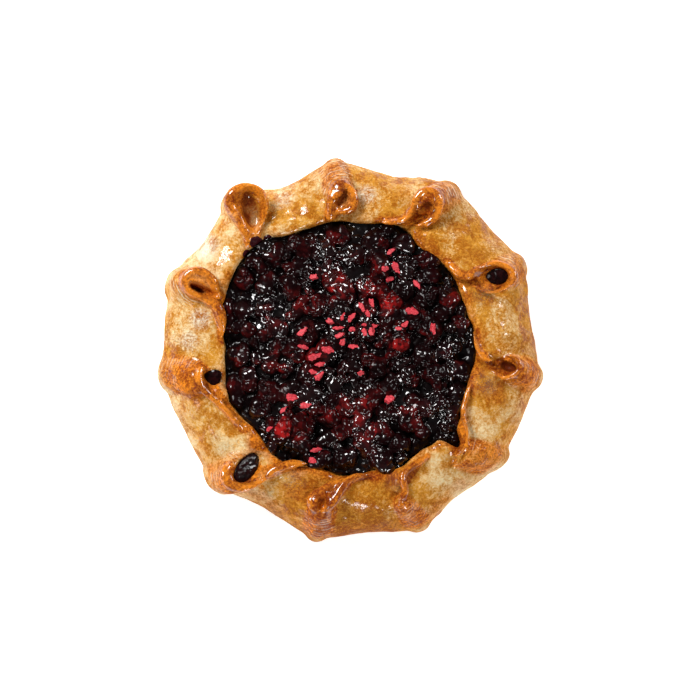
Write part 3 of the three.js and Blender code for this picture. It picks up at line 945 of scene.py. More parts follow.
    def pleat_funnel(self, pleat: Pleat) -> Hollow:
        """The shallow dip inside an open pleat's lips, over its hollow.

        Args:
            pleat: The pleat.

        Returns:
            The dip as a hollow.
        """
        inner = pleat.hollow()
        half = tuple(size + self.funnel_wider for size in inner.half)
        depth = pleat.depth if pleat.soft else self.funnel_depth
        mouth = inner.mouth + inner.outward * (pleat.plug if pleat.soft else 0.0)
        return Hollow(mouth, inner.outward, inner.side, half, depth)

    def side_hollow(self) -> Hollow:
        """The small hollow beside the shut pleat at the left."""
        return Hollow(polar(*self.side_hole), UP, polar(self.side_hole[0] + 90, 1.0),
                      self.side_hole_half, self.side_hole_depth, self.side_hole_lobed)


def hollow_rings(hollow: Hollow, top: float, bottom: float, shrink: float,
                 around: int = 32, rows: int = 14) -> np.ndarray:
    """Rings down a hollow with an even taper and a rounded bottom.

    Args:
        hollow: The hollow.
        top: Depth at which the rings start, negative above the opening.
        bottom: Depth at which they end.
        shrink: How far the rings stay inside the hollow's side.
        around: Points in a ring.
        rows: Number of rings.

    Returns:
        The rings, from the bottom up.
    """
    deep = np.linspace(bottom, top, rows)
    taper = 1 - 0.5 * np.maximum(0, deep / hollow.depth) ** 1.5
    rounding = np.sqrt(np.maximum(0, 1 - np.clip((deep / bottom - 0.7) / 0.3, 0, 1) ** 2))
    centres = hollow.mouth[None] - hollow.outward[None] * deep[:, None]
    halves = (np.array(hollow.half)[None] * taper[:, None] - shrink) * np.maximum(
        0.05, rounding)[:, None]
    rings = round_the_line(centres, hollow.side, halves, around)
    lobes = 1 + hollow.lobed * np.cos(3 * np.linspace(0, 2 * np.pi, around, endpoint=False))
    return centres[:, None] + (rings - centres[:, None]) * lobes[None, :, None]


def dip_rings(dip: Hollow, around: int = 32, rows: int = 12) -> np.ndarray:
    """Rings down a rounded dip, from its bottom out past its opening.

    Args:
        dip: The dip as a hollow.
        around: Points in a ring.
        rows: Number of rings.

    Returns:
        The rings, from the bottom up.
    """
    deep = np.append(dip.depth * np.cos(np.linspace(0, np.pi / 2, rows - 3)),
                     (-2.0, -4.5, -7.0))
    centres = dip.mouth[None] - dip.outward[None] * deep[:, None]
    spread = np.where(deep > 0, np.sqrt(np.maximum(1 - (deep / dip.depth) ** 2, 0.0025)),
                      1 - 0.10 * deep)
    halves = np.array(dip.half)[None] * spread[:, None]
    return round_the_line(centres, dip.side, halves, around)


# ---------------------------------------------------------------- materials


class Recipe:
    """A material under construction, and the place where its nodes are added."""

    def __init__(self, name: str) -> None:
        """Starts an empty node material.

        Args:
            name: Its name.
        """
        self.material = bpy.data.materials.new(name)
        self.material.use_nodes = True
        self.tree = self.material.node_tree
        self.tree.nodes.clear()

    def node(self, kind: str, sockets: Mapping[str | int, object],
             **settings: object) -> bpy.types.Node:
        """Adds a node.

        Args:
            kind: The node's type without the words ShaderNode.
            sockets: Values or links of its inputs, by name or number.
            **settings: Its settings by name.

        Returns:
            The new node.
        """
        new = self.tree.nodes.new("ShaderNode" + kind)
        for key, value in settings.items():
            setattr(new, key, value)
        for key, value in sockets.items():
            self.feed(new.inputs[key], value)
        return new

    def feed(self, socket: bpy.types.NodeSocket, value: object) -> None:
        """Links or sets one input.

        Args:
            socket: The input.
            value: A wire or socket to link, or a plain value.
        """
        if isinstance(value, Wire):
            self.tree.links.new(value.socket, socket)
        elif isinstance(value, bpy.types.NodeSocket):
            self.tree.links.new(value, socket)
        elif socket.type == "RGBA":
            socket.default_value = (*value[:3], 1.0)
        else:
            socket.default_value = value

    def written(self, names: str) -> list["Wire"]:
        """The numbers that the modelling stored on the points under some names."""
        return [Wire(self, self.node("Attribute", {}, attribute_name=name).outputs["Fac"])
                for name in names.split()]

    def grain(self, size: float, detail: float = 2.0, roughness: float = 0.5,
              distortion: float = 0.0) -> "Wire":
        """Soft noise between about 0.25 and 0.75.

        Args:
            size: Size of one spot in millimetres.
            detail: Octaves of finer noise.
            roughness: How strong those are.
            distortion: How much the spots are drawn out.

        Returns:
            The noise.
        """
        new = self.node("TexNoise", {
            "Vector": self.node("TexCoord", {}).outputs["Object"], "Scale": 1 / (size * MM),
            "Detail": detail, "Roughness": roughness, "Distortion": distortion})
        return Wire(self, new.outputs["Fac"])

    def mix(self, share: object, first: object, second: object) -> "Wire":
        """A blend of two colours.

        Args:
            share: How much of the second colour there is.
            first: A colour or a wire that carries one.
            second: A colour or a wire that carries one.

        Returns:
            The blended colour.
        """
        new = self.node("Mix", {0: share, 6: first, 7: second}, data_type="RGBA")
        return Wire(self, new.outputs[2])

    def bump(self, relief: "Wire", depth: float, strength: float = 1.0) -> bpy.types.NodeSocket:
        """A fine relief that only the light sees.

        Args:
            relief: How high each place is, from 0 to 1.
            depth: Height of that step in millimetres.
            strength: How much of it is seen.

        Returns:
            The relief for the shader's normal.
        """
        new = self.node("Bump", {"Strength": strength, "Distance": depth * MM,
                                 "Height": relief})
        return new.outputs["Normal"]

    def finish(self, surface: Mapping[str, object]) -> bpy.types.Material:
        """Puts the shader on the material.

        Args:
            surface: Values or links of the shader's inputs.

        Returns:
            The finished material.
        """
        shader = self.node("BsdfPrincipled", surface)
        self.node("OutputMaterial", {"Surface": shader.outputs["BSDF"]})
        return self.material


class Wire:
    """A number on its way through a material. Its arithmetic adds Math nodes."""

    def __init__(self, recipe: Recipe, socket: bpy.types.NodeSocket) -> None:
        """Wraps an output socket."""
        self.recipe = recipe
        self.socket = socket

    def _math(self, operation: str, *values: object, clamp: bool = False) -> "Wire":
        """Adds a Math node.

        Args:
            operation: What it does.
            *values: Numbers or wires that it does it to.
            clamp: Whether the result is kept between 0 and 1.

        Returns:
            The result.
        """
        new = self.recipe.node("Math", dict(enumerate(values)), operation=operation,
                               use_clamp=clamp)
        return Wire(self.recipe, new.outputs[0])

    def __add__(self, other: object) -> "Wire":
        """This plus another."""
        return self._math("ADD", self, other)

    __radd__ = __add__

    def __sub__(self, other: object) -> "Wire":
        """This less another."""
        return self._math("SUBTRACT", self, other)

    def __rsub__(self, other: object) -> "Wire":
        """Another less this."""
        return self._math("SUBTRACT", other, self)

    def __mul__(self, other: object) -> "Wire":
        """This times another."""
        return self._math("MULTIPLY", self, other)

    __rmul__ = __mul__

    def __truediv__(self, other: object) -> "Wire":
        """This divided by another."""
        return self._math("DIVIDE", self, other)

    def __pow__(self, other: object) -> "Wire":
        """This to a power."""
        return self._math("POWER", self, other)

    def sine(self) -> "Wire":
        """The sine of this."""
        return self._math("SINE", self)

    def clamped(self) -> "Wire":
        """This, kept between 0 and 1."""
        return self._math("ADD", self, 0.0, clamp=True)

    def step(self, low: float, high: float) -> "Wire":
        """A smooth step.

        Args:
            low: Where it starts.
            high: Where it is complete. It may be the lower of the two.

        Returns:
            The eased share between 0 and 1.
        """
        lifted = (self - low) / (high - low)
        new = self.recipe.node("MapRange", {"Value": lifted, "From Min": 0.0, "From Max": 1.0},
                               interpolation_type="SMOOTHSTEP")
        return Wire(self.recipe, new.outputs["Result"])


@dataclass(frozen=True)
class BakedDough:
    """Egg-washed wheat dough: cream to gold and mottled, browned on its lips and folds."""

    cream: Colour = (0.94, 0.745, 0.420)
    gold: Colour = (0.80, 0.365, 0.040)
    tan: Colour = (0.46, 0.138, 0.006)
    amber: Colour = (0.95, 0.290, 0.018)
    copper: Colour = (0.28, 0.040, 0.002)
    # Dark brown for the painted shade in the hollows and dips, and for random darker browning on
    # and inside the lips.
    char_and_shade_brown: Colour = (0.16, 0.024, 0.004)
    # Pale stretch lines: partly paler stretched dough, partly painted highlight along the wrinkles.
    pale_stretch_and_sheen: Colour = (0.96, 0.78, 0.52)
    # White of the painted highlight on the glossy patches.
    painted_highlight_white: Colour = (0.96, 0.87, 0.70)
    stain: Colour = (0.17, 0.085, 0.085)
    juice: Colour = (0.060, 0.006, 0.010)
    cloud_size: float = 24.0
    patch_size: float = 8.0
    speckle_size: float = 2.0
    pepper_size: float = 1.2
    wash_size: float = 9.0
    streak_size: float = 9.0
    streak_strength: float = 1.15
    ring_pitch: float = 1.5
    ring_spread: float = 4.1
    relief_size: float = 1.8
    relief_depth: float = 0.7
    gloss: float = 0.13
    sheen: float = 1.60

    def material(self) -> bpy.types.Material:
        """Makes the material.

        Returns:
            The material, which reads what Crust.mark stored on the points.
        """
        recipe = Recipe("baked_dough")
        lip, core, rim, fold, crest, hem, scorch, bake = recipe.written(
            "lip core rim fold crest hem scorch bake")
        inside, bowl, stretch, ring, glaze, stain, juice, level = recipe.written(
            "inside bowl stretch ring glaze stain juice level")
        broad = recipe.grain(self.cloud_size, 3.0, 0.55, 0.4).step(0.38, 0.62)
        patches = recipe.grain(self.patch_size, 4.0, 0.60, 0.5).step(0.36, 0.64)
        speckle = recipe.grain(self.speckle_size, 4.0, 0.85, 0.4).step(0.45, 0.55)
        pepper = recipe.grain(self.pepper_size, 2.0, 0.5, 0.3).step(0.45, 0.55)
        # The glossy patches are lightened and whitened as a painted highlight.
        pale = (broad * 0.60 + patches * 0.45 + speckle * 0.28 + pepper * 0.28 - 0.50
                + glaze * 0.5 - bake * 0.26).clamped()
        colour = recipe.mix(pale, self.gold, self.cream)
        colour = recipe.mix(glaze * (0.35 + pepper * 0.45), colour, self.painted_highlight_white)
        toast = ((1 - broad) * (1 - patches) * 0.6 + (1 - patches) * (1 - speckle) * 0.50
                 + bake * (1 - speckle * 0.6) * 0.28 + (1 - pepper) * 0.22 - 0.16).clamped()
        colour = recipe.mix(toast, colour, self.tan)
        # Painted highlight along the lip ridges, which lean to bright amber; the lips' outer edges
        # lean to copper, partly burnt edge and partly painted crease shade.
        rust = recipe.mix((speckle * 0.40 + pepper * 0.40 + patches * 0.45 + core * 0.40
                           - (lip - core) * 0.10 - bake * 0.10 - 0.08).clamped(),
                          self.copper, self.amber)
        brown = ((lip + inside * 0.95).clamped() + rim * 0.85 + fold * 0.95 + crest * 0.30
                 + hem * 0.60 + scorch + (0.5 - patches) * 0.30 - 0.05).clamped()
        colour = recipe.mix(brown, colour, rust)
        # Painted shade: the hollows and dark spots go towards dark brown; the lip and inside terms
        # are random darker browning.
        deep = (bowl * (0.62 + (1 - patches) * 0.35)
                + (inside * 0.30 + lip * 0.10) * (1 - patches)).clamped()
        colour = recipe.mix(deep, colour, self.char_and_shade_brown)
        ripple = (ring * (2 * math.pi / self.ring_pitch)
                  + recipe.grain(11.0) * 13.0).sine() * 0.5 + 0.5
        ringed = stretch * (1 - lip) * (1 - inside)
        spread = (ring * (2 * math.pi / self.ring_spread)
                  + recipe.grain(7.0) * 16.0).sine() * 0.5 + 0.5
        # Pale stretch lines round the horns: partly paler stretched dough, partly painted highlight
        # along the wrinkles.
        streaks = (ringed * ripple ** 3.0 * spread * self.streak_strength
                   * recipe.grain(self.streak_size, 3.0, 0.6).step(0.42, 0.56))
        colour = recipe.mix(streaks, colour, self.pale_stretch_and_sheen)
        purple = stain * (recipe.grain(0.8, 4.0, 0.8).step(0.50, 0.62) * 0.7
                          + recipe.grain(6.0).step(0.4, 0.6) * 0.25)
        colour = recipe.mix(purple.clamped(), colour, self.stain)
        spilt = (juice * 1.6 - recipe.grain(4.0, 3.0, 0.6)).step(0.0, 0.18)
        colour = recipe.mix(spilt, colour, self.juice)
        relief = (recipe.grain(self.relief_size, 5.0, 0.70) * 1.2 + speckle * 0.20 + pepper * 0.22
                  + ringed * ripple * 0.6)
        wash = recipe.grain(self.wash_size, 4.0, 0.65).step(0.45, 0.57)
        return recipe.finish({
            "Base Color": colour,
            "Roughness": (0.55 - wash * 0.16 - lip * 0.14 + speckle * 0.08).clamped(),
            "Coat Weight": (((wash * 0.8 + glaze) * (0.35 + pepper * 0.65)
                             * (1 - inside * 0.8) * (1 - hem) * (1 - ringed * 0.85)
                             + lip * 0.9) * (0.2 + level * 0.8)).clamped(),
            "Coat Roughness": self.gloss, "Coat IOR": self.sheen, "IOR": 1.40,
            "Specular IOR Level": 0.08,
            "Normal": recipe.bump(relief, self.relief_depth)})


@dataclass(frozen=True)
class CookedBerry:
    """Near-black cooked fruit in syrup, dark red where light gets through the flesh."""

    name: str = "berry_syrup"
    syrup: Colour = (0.0030, 0.0008, 0.0010)
    skin: Colour = (0.006, 0.0008, 0.0012)
    flesh: Colour = (0.42, 0.012, 0.012)
    gloss: float = 0.10
    ripple: float = 0.15
    ripple_size: float = 2.0
    ripple_depth: float = 0.30
    spot_size: float = 2.4
    zone_size: float = 22.0
    film_size: float = 16.0
    sheen: float = 1.72

    def material(self) -> bpy.types.Material:
        """Makes the material.

        Returns:
            The material, which reads what Filling or JamPockets stored on the points.
        """
        recipe = Recipe(self.name)
        spots = recipe.grain(self.spot_size, 3.0, 0.6).step(0.42, 0.62)
        zones = recipe.grain(self.zone_size).step(0.47, 0.60)
        height, chance, ripe, inner, crease, lit = recipe.written(
            "height chance red inner crease shine")
        colour = recipe.mix(height, self.syrup, self.skin)
        picked = chance.step(0.50, 0.95)
        red = (ripe * (0.10 + spots * 0.45 + picked * 0.6)
               + zones * inner * height * (0.15 + picked * 0.85) * 0.36).clamped()
        colour = recipe.mix(red, colour, self.flesh)
        # Creases between the lumps darken towards syrup: partly syrup lying in them, partly painted
        # shade.
        colour = recipe.mix(crease * 0.7, colour, self.syrup)
        relief = recipe.grain(self.ripple_size, 2.0, 0.5, 0.4)
        shine = (recipe.grain(self.film_size, 4.0, 0.65).step(0.46, 0.58) * 0.80
                 + lit * 0.55 + 0.10).clamped()
        return recipe.finish({
            "Base Color": colour,
            "Roughness": (0.28 + spots * 0.14).clamped(),
            "Coat Weight": shine, "Coat Roughness": self.gloss, "Coat IOR": self.sheen,
            "IOR": 1.42, "Specular IOR Level": 0.07,
            "Normal": recipe.bump(relief, self.ripple_depth, self.ripple)})


@dataclass(frozen=True)
class DriedFruit:
    """Bright freeze-dried raspberry, dull and a little powdery."""

    bright: Colour = (0.80, 0.060, 0.085)
    deep: Colour = (0.45, 0.012, 0.022)
    powder: Colour = (0.95, 0.30, 0.30)
    relief_depth: float = 0.3

    def material(self) -> bpy.types.Material:
        """Makes the material.

        Returns:
            The material.
        """
        recipe = Recipe("dried_raspberry")
        spots = recipe.grain(1.0, 3.0, 0.6).step(0.35, 0.65)
        colour = recipe.mix(spots, self.deep, self.bright)
        dust = recipe.grain(0.7).step(0.60, 0.72) * 0.5
        colour = recipe.mix(dust, colour, self.powder)
        relief = recipe.bump(recipe.grain(0.8, 3.0, 0.6), self.relief_depth, 0.6)
        return recipe.finish({"Base Color": colour, "Roughness": 0.5 + spots * 0.2,
                              "Normal": relief})


@dataclass(frozen=True)
class PaleFloor:
    """The plain pale worktop, lit a little from below as a light table is."""

    colour: Colour = (0.97, 0.97, 0.965)
    cloud: Colour = (0.93, 0.93, 0.93)
    glow: float = 0.68

    def material(self) -> bpy.types.Material:
        """Makes the material.

        Returns:
            The material.
        """
        recipe = Recipe("pale_worktop")
        tint = recipe.mix(recipe.grain(40.0) * 0.04, self.colour, self.cloud)
        return recipe.finish({"Base Color": tint, "Roughness": 0.9, "IOR": 1.2,
                              "Emission Color": (1.0, 1.0, 1.0),
                              "Emission Strength": self.glow})


# ---------------------------------------------------------------- the crust


@dataclass
class Crust:
    """The folded dough: a round wall, eleven gathered pleats and their rolled lips."""

    plan: Plan = field(default_factory=Plan)
    finish: BakedDough = field(default_factory=BakedDough)
    wall_rows: int = 26
    edge_profile: tuple[Pair, ...] = ((0.7, 0.0), (0.4, -0.1), (0.08, -0.36), (-0.3, -1.2))
    tuck_levels: Pair = (4.0, 14.0)
    horn_around: int = 40
    horn_along: int = 44
    foot_flare: float = 1.7
    lip_pull: float = 1.3
    lip_rounding: float = 0.1
    lip_lift: float = 1.5
    lip_top: float = 33.6
    lip_slim: float = 0.92
    lip_steps: int = 70
    lip_around: int = 14
    lip_ends: Pair = (0.12, 0.10)
    stem_steps: int = 14
    stem_around: int = 20
    stem_end: float = 3.4
    stem_start: float = 0.38
    stem_width: float = 0.62
    stem_arch: float = 1.2
    stem_dip: float = 0.6
    plug_mound: float = 3.0
    plug_inset: float = 0.6
    plug_steps: int = 12
    plug_around: int = 30
    hollow_start: float = -6.0
    coarse: float = 1.15
    fine: float = 0.85
    sole_level: float = 0.7
    kept_level: float = 17.0
    still_foot: Pair = (1.5, 6.0)
    bumps: tuple[tuple[float, float, Point], ...] = (
        (19.0, 1.5, (3.1, 7.7, 0.4)), (7.0, 0.55, (9.2, 1.3, 5.5)), (2.6, 0.14, (4.6, 8.1, 2.2)))
    upper: Pair = (20.0, 26.0)
    lip_fade: Pair = (1.75, 1.05)
    # Where the painted highlight along a lip ridge fades.
    lip_highlight_fade: Pair = (1.15, 0.75)
    rim_fade: Pair = (8.0, 1.0)
    hem_fade: Pair = (11.0, 5.0)
    hem_foot: Pair = (-1.5, 2.5)
    fold_fade: Pair = (30.0, 10.0)
    stretch_start: Pair = (2.0, 5.0)
    facing_up: Pair = (0.25, 0.70)
    crest_passes: int = 14
    crest_height: float = 0.6
    rim_bake: tuple[Pair, ...] = (
        (0, 1.0), (20, 0.8), (60, 0.6), (85, 0.3), (110, 0.25), (135, 0.2), (160, 0.7),
        (180, 0.35), (198, 0.5), (215, 1.0), (238, 1.0), (275, 1.1), (300, 0.5), (335, 0.7))
    hem_bake: tuple[Pair, ...] = (
        (20, 0.35), (60, 0.25), (100, 0.1), (170, 0.1), (205, 0.4), (245, 0.9), (285, 0.95),
        (320, 0.6), (350, 0.5))
    scorches: tuple[Mark, ...] = (
        (-50.5, -51.0, 8.0, 0.8), (78.0, -24.0, 9.0, 0.35), (60.0, 66.0, 9.0, 0.3),
        (20.0, -66.0, 12.0, 0.5), (-22.0, -78.0, 20.0, 0.35), (10.0, -92.0, 16.0, 0.4),
        (-44.0, -46.0, 9.0, 0.5), (93.0, -18.0, 7.0, 0.6), (-71.0, 27.0, 6.0, 0.6),
        (-84.0, -22.0, 12.0, 0.5),
        (-62.8, 79.0, 6.0, 0.8), (-60.5, 86.0, 6.0, 0.8), (-57.0, 66.0, 5.0, 0.7),
        (-54.6, 59.0, 4.0, 0.8), (-32.0, -84.0, 16.0, 0.5), (-58.0, 80.5, 8.0, 0.9),
        (-56.5, 72.0, 4.4, 0.9), (-54.8, 65.0, 3.6, 0.9), (-53.0, 86.0, 5.0, 0.7))
    # Painted shade in the soft dips and pits of the pleats, and darker spots along the bottom rim.
    shade_and_dark_spots: tuple[Mark, ...] = (
        (20.0, -69.5, 6.0, 0.35), (33.0, -66.0, 5.0, 0.35), (-8.0, -67.5, 6.0, 0.30),
        (-56.6, 80.5, 6.5, 0.60), (-57.0, 74.0, 4.0, 0.35), (-3.7, 84.0, 4.0, 0.75),
        (-5.5, 80.5, 3.0, 0.35), (41.6, 78.6, 3.6, 0.55), (39.0, 75.0, 3.0, 0.35),
        (-15.4, -81.6, 2.6, 0.6))
    # Glossy egg-wash patches, which also carry a painted white highlight.
    gloss_and_highlight_patches: tuple[Mark, ...] = (
        (-81.0, 17.0, 8.0, 1.0), (-78.0, 56.0, 10.0, 0.9), (9.0, 84.5, 7.0, 0.9),
        (-88.0, 5.0, 8.0, 0.6), (-36.0, 82.0, 7.0, 0.6))
    spills: tuple[Spot, ...] = ((-50.5, 58.0, 4.2), (-44.5, 60.0, 3.0), (-55.6, 52.0, 3.0))
    panel_bake: tuple[Pair, ...] = (
        (0, 1.3), (40, 1.8), (75, 1.3), (110, 0.5), (145, -0.6), (168, 0.5), (185, 0.9),
        (205, -0.5), (235, -0.1), (275, 3.2), (305, -0.3), (335, 0.5))
    stains: tuple[Point, ...] = ((70.5, -17.5, 28.0), (73.0, 30.0, 28.0), (26.0, -72.0, 28.0),
                                 (-30.0, -71.0, 28.0), (75.0, -19.0, 27.0))
    stain_fade: Pair = (9.0, 2.0)
    piece: bpy.types.Object | None = None
    lip_points: np.ndarray = field(init=False)
    lip_sizes: np.ndarray = field(init=False)

    def __post_init__(self) -> None:
        """Works out where the lips run and how thick each is along its way."""
        self.lip_points = np.concatenate([self.lip_line(p) for p in self.plan.pleats])
        self.lip_sizes = np.repeat([p.lip_half for p in self.plan.pleats], self.lip_steps)

    def wall_rings(self) -> np.ndarray:
        """The rings of the folded wall, from the middle of its underside to the top.

        Returns:
            The rings, shaped (rings, columns, 3).
        """
        plan = self.plan
        bearings = plan.bearings()
        wall, rim = plan.wall()(bearings), plan.rim()(bearings)
        height, edge = plan.rim_height()(bearings), plan.dough_edge
        crown = rim + edge
        arc = np.sin(np.linspace(np.pi / 2, 0, self.wall_rows))
        rows = [(np.zeros_like(wall), 0.0), (wall - plan.foot_rounding, 0.0),
                (wall - 0.3 * plan.foot_rounding, 0.3 * plan.foot_rounding)]
        for share in arc:
            radius = crown + (wall - crown) * share
            level = plan.top(bearings, radius)
            pressed = plan.tuck(bearings, radius) * ramp(level, *self.tuck_levels)
            rows.append((radius, level - pressed))
        height = height - plan.tuck(bearings, crown)
        rows += [(rim + out * edge, height + up * edge) for out, up in self.edge_profile]
        rows.append((np.zeros_like(wall), plan.pinch_height - edge))
        return np.stack([polar(bearings, radius, level) for radius, level in rows])

    def horn_rings(self, pleat: Pleat) -> np.ndarray:
        """The rings of a pleat's standing horn, from the worktop to its mouth.

        Args:
            pleat: The pleat.

        Returns:
            The rings.
        """
        shares = np.linspace(0, 1, self.horn_along + 1)
        pull = self.lip_pull * np.maximum(0, (shares - 1 + self.lip_rounding) / self.lip_rounding)
        foot, half = np.array(pleat.foot_half), np.array(pleat.half)
        flare = (1 - shares)[:, None] ** self.foot_flare
        halves = half + (foot - half) * flare - pull[:, None]
        return round_the_line(pleat.line(shares), pleat.whole().side, halves, self.horn_around)

    def stem_rings(self, pleat: Pleat) -> np.ndarray:
        """The rings of the two lips pressed together between a mouth and the rim.

        Args:
            pleat: The pleat.

        Returns:
            The rings.
        """
        plan = self.plan
        pinch = polar(pleat.pinch[0], pleat.pinch[1] + 0.5 * plan.dough_edge,
                      plan.pinch_height - self.stem_dip)
        mouth = polar(*pleat.mouth)
        lip = mouth + (pinch - mouth) * self.stem_start
        lip[2] = (mouth[2] - pleat.half[1] * math.sin(math.radians(pleat.tilt))
                  - pleat.stem_sunk)
        side = np.cross(unit((pinch - lip) * LEVEL), UP)
        middle = (lip + pinch) / 2 + side * pleat.sway
        middle[2] = pinch[2] + self.stem_arch - pleat.stem_sunk
        t = np.linspace(0, 1, self.stem_steps)[:, None]
        start = self.stem_width * pleat.half[0]
        halves = np.concatenate([start + (self.stem_end - start) * t,
                                 self.stem_end + 0.4 - 0.8 * t], axis=1)
        return round_the_line(arched(lip, middle, pinch, t), side, halves, self.stem_around)

    def lip_line(self, pleat: Pleat) -> np.ndarray:
        """The middle of the rolled edge round a mouth.

        Args:
            pleat: The pleat.

        Returns:
            Its points, one row each.
        """
        centres = SmoothLine(pleat.lip).samples(self.lip_steps)
        centres[:, 2] = np.minimum(centres[:, 2] + self.lip_lift, self.lip_top)
        return centres

    def lip_rings(self, pleat: Pleat) -> np.ndarray:
        """The rings of the rolled edge that runs from the rim round a mouth.

        Args:
            pleat: The pleat.

        Returns:
            The rings.
        """
        centres = self.lip_line(pleat)
        share = np.linspace(0, 1, self.lip_steps)
        first, last = self.lip_ends
        swell = (np.sqrt(np.clip(share / first, 0.02, 1))
                 * np.sqrt(np.clip((1 - share) / last, 0.02, 1)))
        half = pleat.lip_half * self.lip_slim
        halves = np.stack([half * swell, half * swell], axis=1)
        tangents = unit(np.gradient(centres, axis=0))
        return round_the_line(centres, np.cross(tangents, UP), halves, self.lip_around)

    def plug_rings(self, pleat: Pleat) -> np.ndarray:
        """The rings of the mound of dough that fills a gathered mouth between its lips.

        Args:
            pleat: The pleat.

        Returns:
            The rings.
        """
        whole = pleat.whole()
        turn = np.linspace(-0.5, 0.5, self.plug_steps)[:, None] * np.pi * 0.98
        half = np.array(pleat.half) - self.plug_inset * pleat.lip_half
        centres = whole.mouth + whole.outward * (np.sin(turn) * self.plug_mound + pleat.plug)
        return round_the_line(centres, whole.side, half * np.cos(turn), self.plug_around)

    def carve(self, hollow: Hollow) -> None:
        """Carves a hollow into the dough."""
        rings = hollow_rings(hollow, self.hollow_start, hollow.depth, 0.0)
        cut(self.piece, loft("hollow", rings), Cut.CARVE)

    def build(self) -> None:
        """Models the folded dough and fits it into the frame."""
        plan = self.plan
        dough = self.piece = loft("folded_dough", self.wall_rings())
        shells = [loft("horn", self.horn_rings(pleat)) for pleat in plan.pleats]
        shells += [loft("stem", self.stem_rings(pleat)) for pleat in plan.pleats]
        join(dough, *shells)
        knead(dough, self.coarse)
        soften(dough, 4)
        cut(dough, loft("bed", plan.well_rings(0.0, plan.floor)), Cut.CARVE)
        lips = [loft("lip", self.lip_rings(pleat)) for pleat in plan.pleats]
        lips += [loft("plug", self.plug_rings(pleat)) for pleat in plan.pleats if pleat.plug]
        join(dough, *lips)
        knead(dough, self.fine)
        soften(dough, 1)
        for pleat in plan.pleats:
            if pleat.depth:
                cut(dough, loft("funnel", dip_rings(plan.pleat_funnel(pleat))), Cut.CARVE)
            if pleat.depth and not pleat.soft:
                self.carve(pleat.hollow())
        self.carve(plan.side_hollow())
        knead(dough, self.fine)
        soften(dough, 1)
        self.trim()
        self.weather()
        self.mark()
        stands_for(dough, ["crust"])

    def trim(self) -> None:
        """Flattens the underside and leaves out the fine faces that the filling hides."""
        dough = self.piece
        set_on_floor(dough, self.sole_level, 0.0)
        points = points_of(dough)
        inner = radius_of(points) < self.plan.rim()(bearing_of(points)) + 1.0
        low = (points[:, 2] < self.kept_level) & (points[:, 2] > 1.0)
        with editing(dough, inner & low):
            bpy.ops.mesh.delete(type="VERT")
            draw_open_edge(self.plan.floor - self.kept_level, flatten=True)

    def weather(self) -> None:
        """Gives the dough its hand-made unevenness."""
        dough = self.piece
        points = points_of(dough)
        level = ramp(points[:, 2], *self.still_foot)
        which, far = nearest(points, self.lip_points)
        calm = level * (1 - 0.75 * ramp(far / self.lip_sizes[which], 1.8, 1.1))
        for (size, amount, seed), share in zip(self.bumps, (level, calm, calm)):
            uneven(dough, size, amount, seed, share)

    def mark(self) -> None:
        """Stores where the dough is browned, ringed, stained and glazed, and where highlight and
        shade are painted on.
        """
        points = points_of(self.piece)
        high = ramp(points[:, 2], *self.upper)
        # Painted shade in the hollows and at the dark spots.
        bowl = np.maximum(self.shade_in_hollows(points), marked(points, self.shade_and_dark_spots, 0.4) * high)
        _, to_stain = nearest(points, np.array(self.stains))
        write_on(self.piece, crest=self.crest(), inside=self.inside_lips(points), bowl=bowl,
                 juice=ramp(shares_away(points, self.spills), 1.2, 0.3) * high,
                 glaze=marked(points, self.gloss_and_highlight_patches, 0.3),
                 scorch=marked(points, self.scorches, 0.3) * high,
                 stain=ramp(to_stain, *self.stain_fade),
                 level=ramp(outward_of(self.piece)[:, 2], *self.facing_up))
        self.mark_round(points, high)
        self.mark_lips(points)
        self.mark_horns(points)

    def mark_round(self, points: np.ndarray, high: np.ndarray) -> None:
        """Stores how brown the rim, the panels and the hem are all the way round.

        Args:
            points: The dough's points.
            high: How far each is up on the dough.
        """
        bearings, radii = bearing_of(points), radius_of(points)
        rim_gap = radii - self.plan.rim()(bearings)
        wall_gap = self.plan.wall()(bearings) - radii
        write_on(self.piece, bake=RoundTable(self.panel_bake)(bearings),
                 rim=ramp(rim_gap, *self.rim_fade) * high * RoundTable(self.rim_bake)(bearings),
                 hem=(ramp(wall_gap, *self.hem_fade) * ramp(wall_gap, *self.hem_foot)
                      * RoundTable(self.hem_bake)(bearings)))

    def mark_lips(self, points: np.ndarray) -> None:
        """Stores where the lips are and where their ridges run, along which a highlight is painted.

        Args:
            points: The dough's points.
        """
        which, far = nearest(points, self.lip_points)
        bakes = np.repeat([p.lip_bake for p in self.plan.pleats], self.lip_steps)
        share = far / self.lip_sizes[which]
        lip = ramp(share, *self.lip_fade) * ramp(points[:, 2], 24, 27) * bakes[which]
        write_on(self.piece, lip=lip, core=ramp(share, *self.lip_highlight_fade) * lip)

    def inside_lips(self, points: np.ndarray) -> np.ndarray:
        """How far points belong to the dough that the lips go round.

        Args:
            points: The dough's points.

        Returns:
            The share of every point.
        """
        inside = np.zeros(len(points))
        for pleat in self.plan.pleats:
            ring = SmoothLine(pleat.lip).samples(40)[:, :2]
            inside = np.maximum(inside, within(points[:, :2], ring) * pleat.inner_bake
                                * ramp(points[:, 2], 20, 23))
            if pleat.plug:
                oval, deep = pleat.whole().holds(points)
                inside = np.maximum(inside, ramp(oval, 1.05, 0.85)
                                    * ramp(np.abs(deep), 6.0, 4.5))
        return inside

    def shade_in_hollows(self, points: np.ndarray) -> np.ndarray:
        """How far points belong to the shaded sides of the open hollows.

        Args:
            points: The dough's points.

        Returns:
            The share of every point.
        """
        bowl = np.zeros(len(points))
        for pleat in self.plan.pleats:
            if pleat.depth:
                oval, deep = pleat.hollow().holds(points)
                bowl = np.maximum(bowl, ramp(oval, 1.5, 0.9) * ramp(deep, 0.5, 4.0)
                                  * ramp(deep, pleat.depth + 2.5, pleat.depth + 1.0))
        return bowl

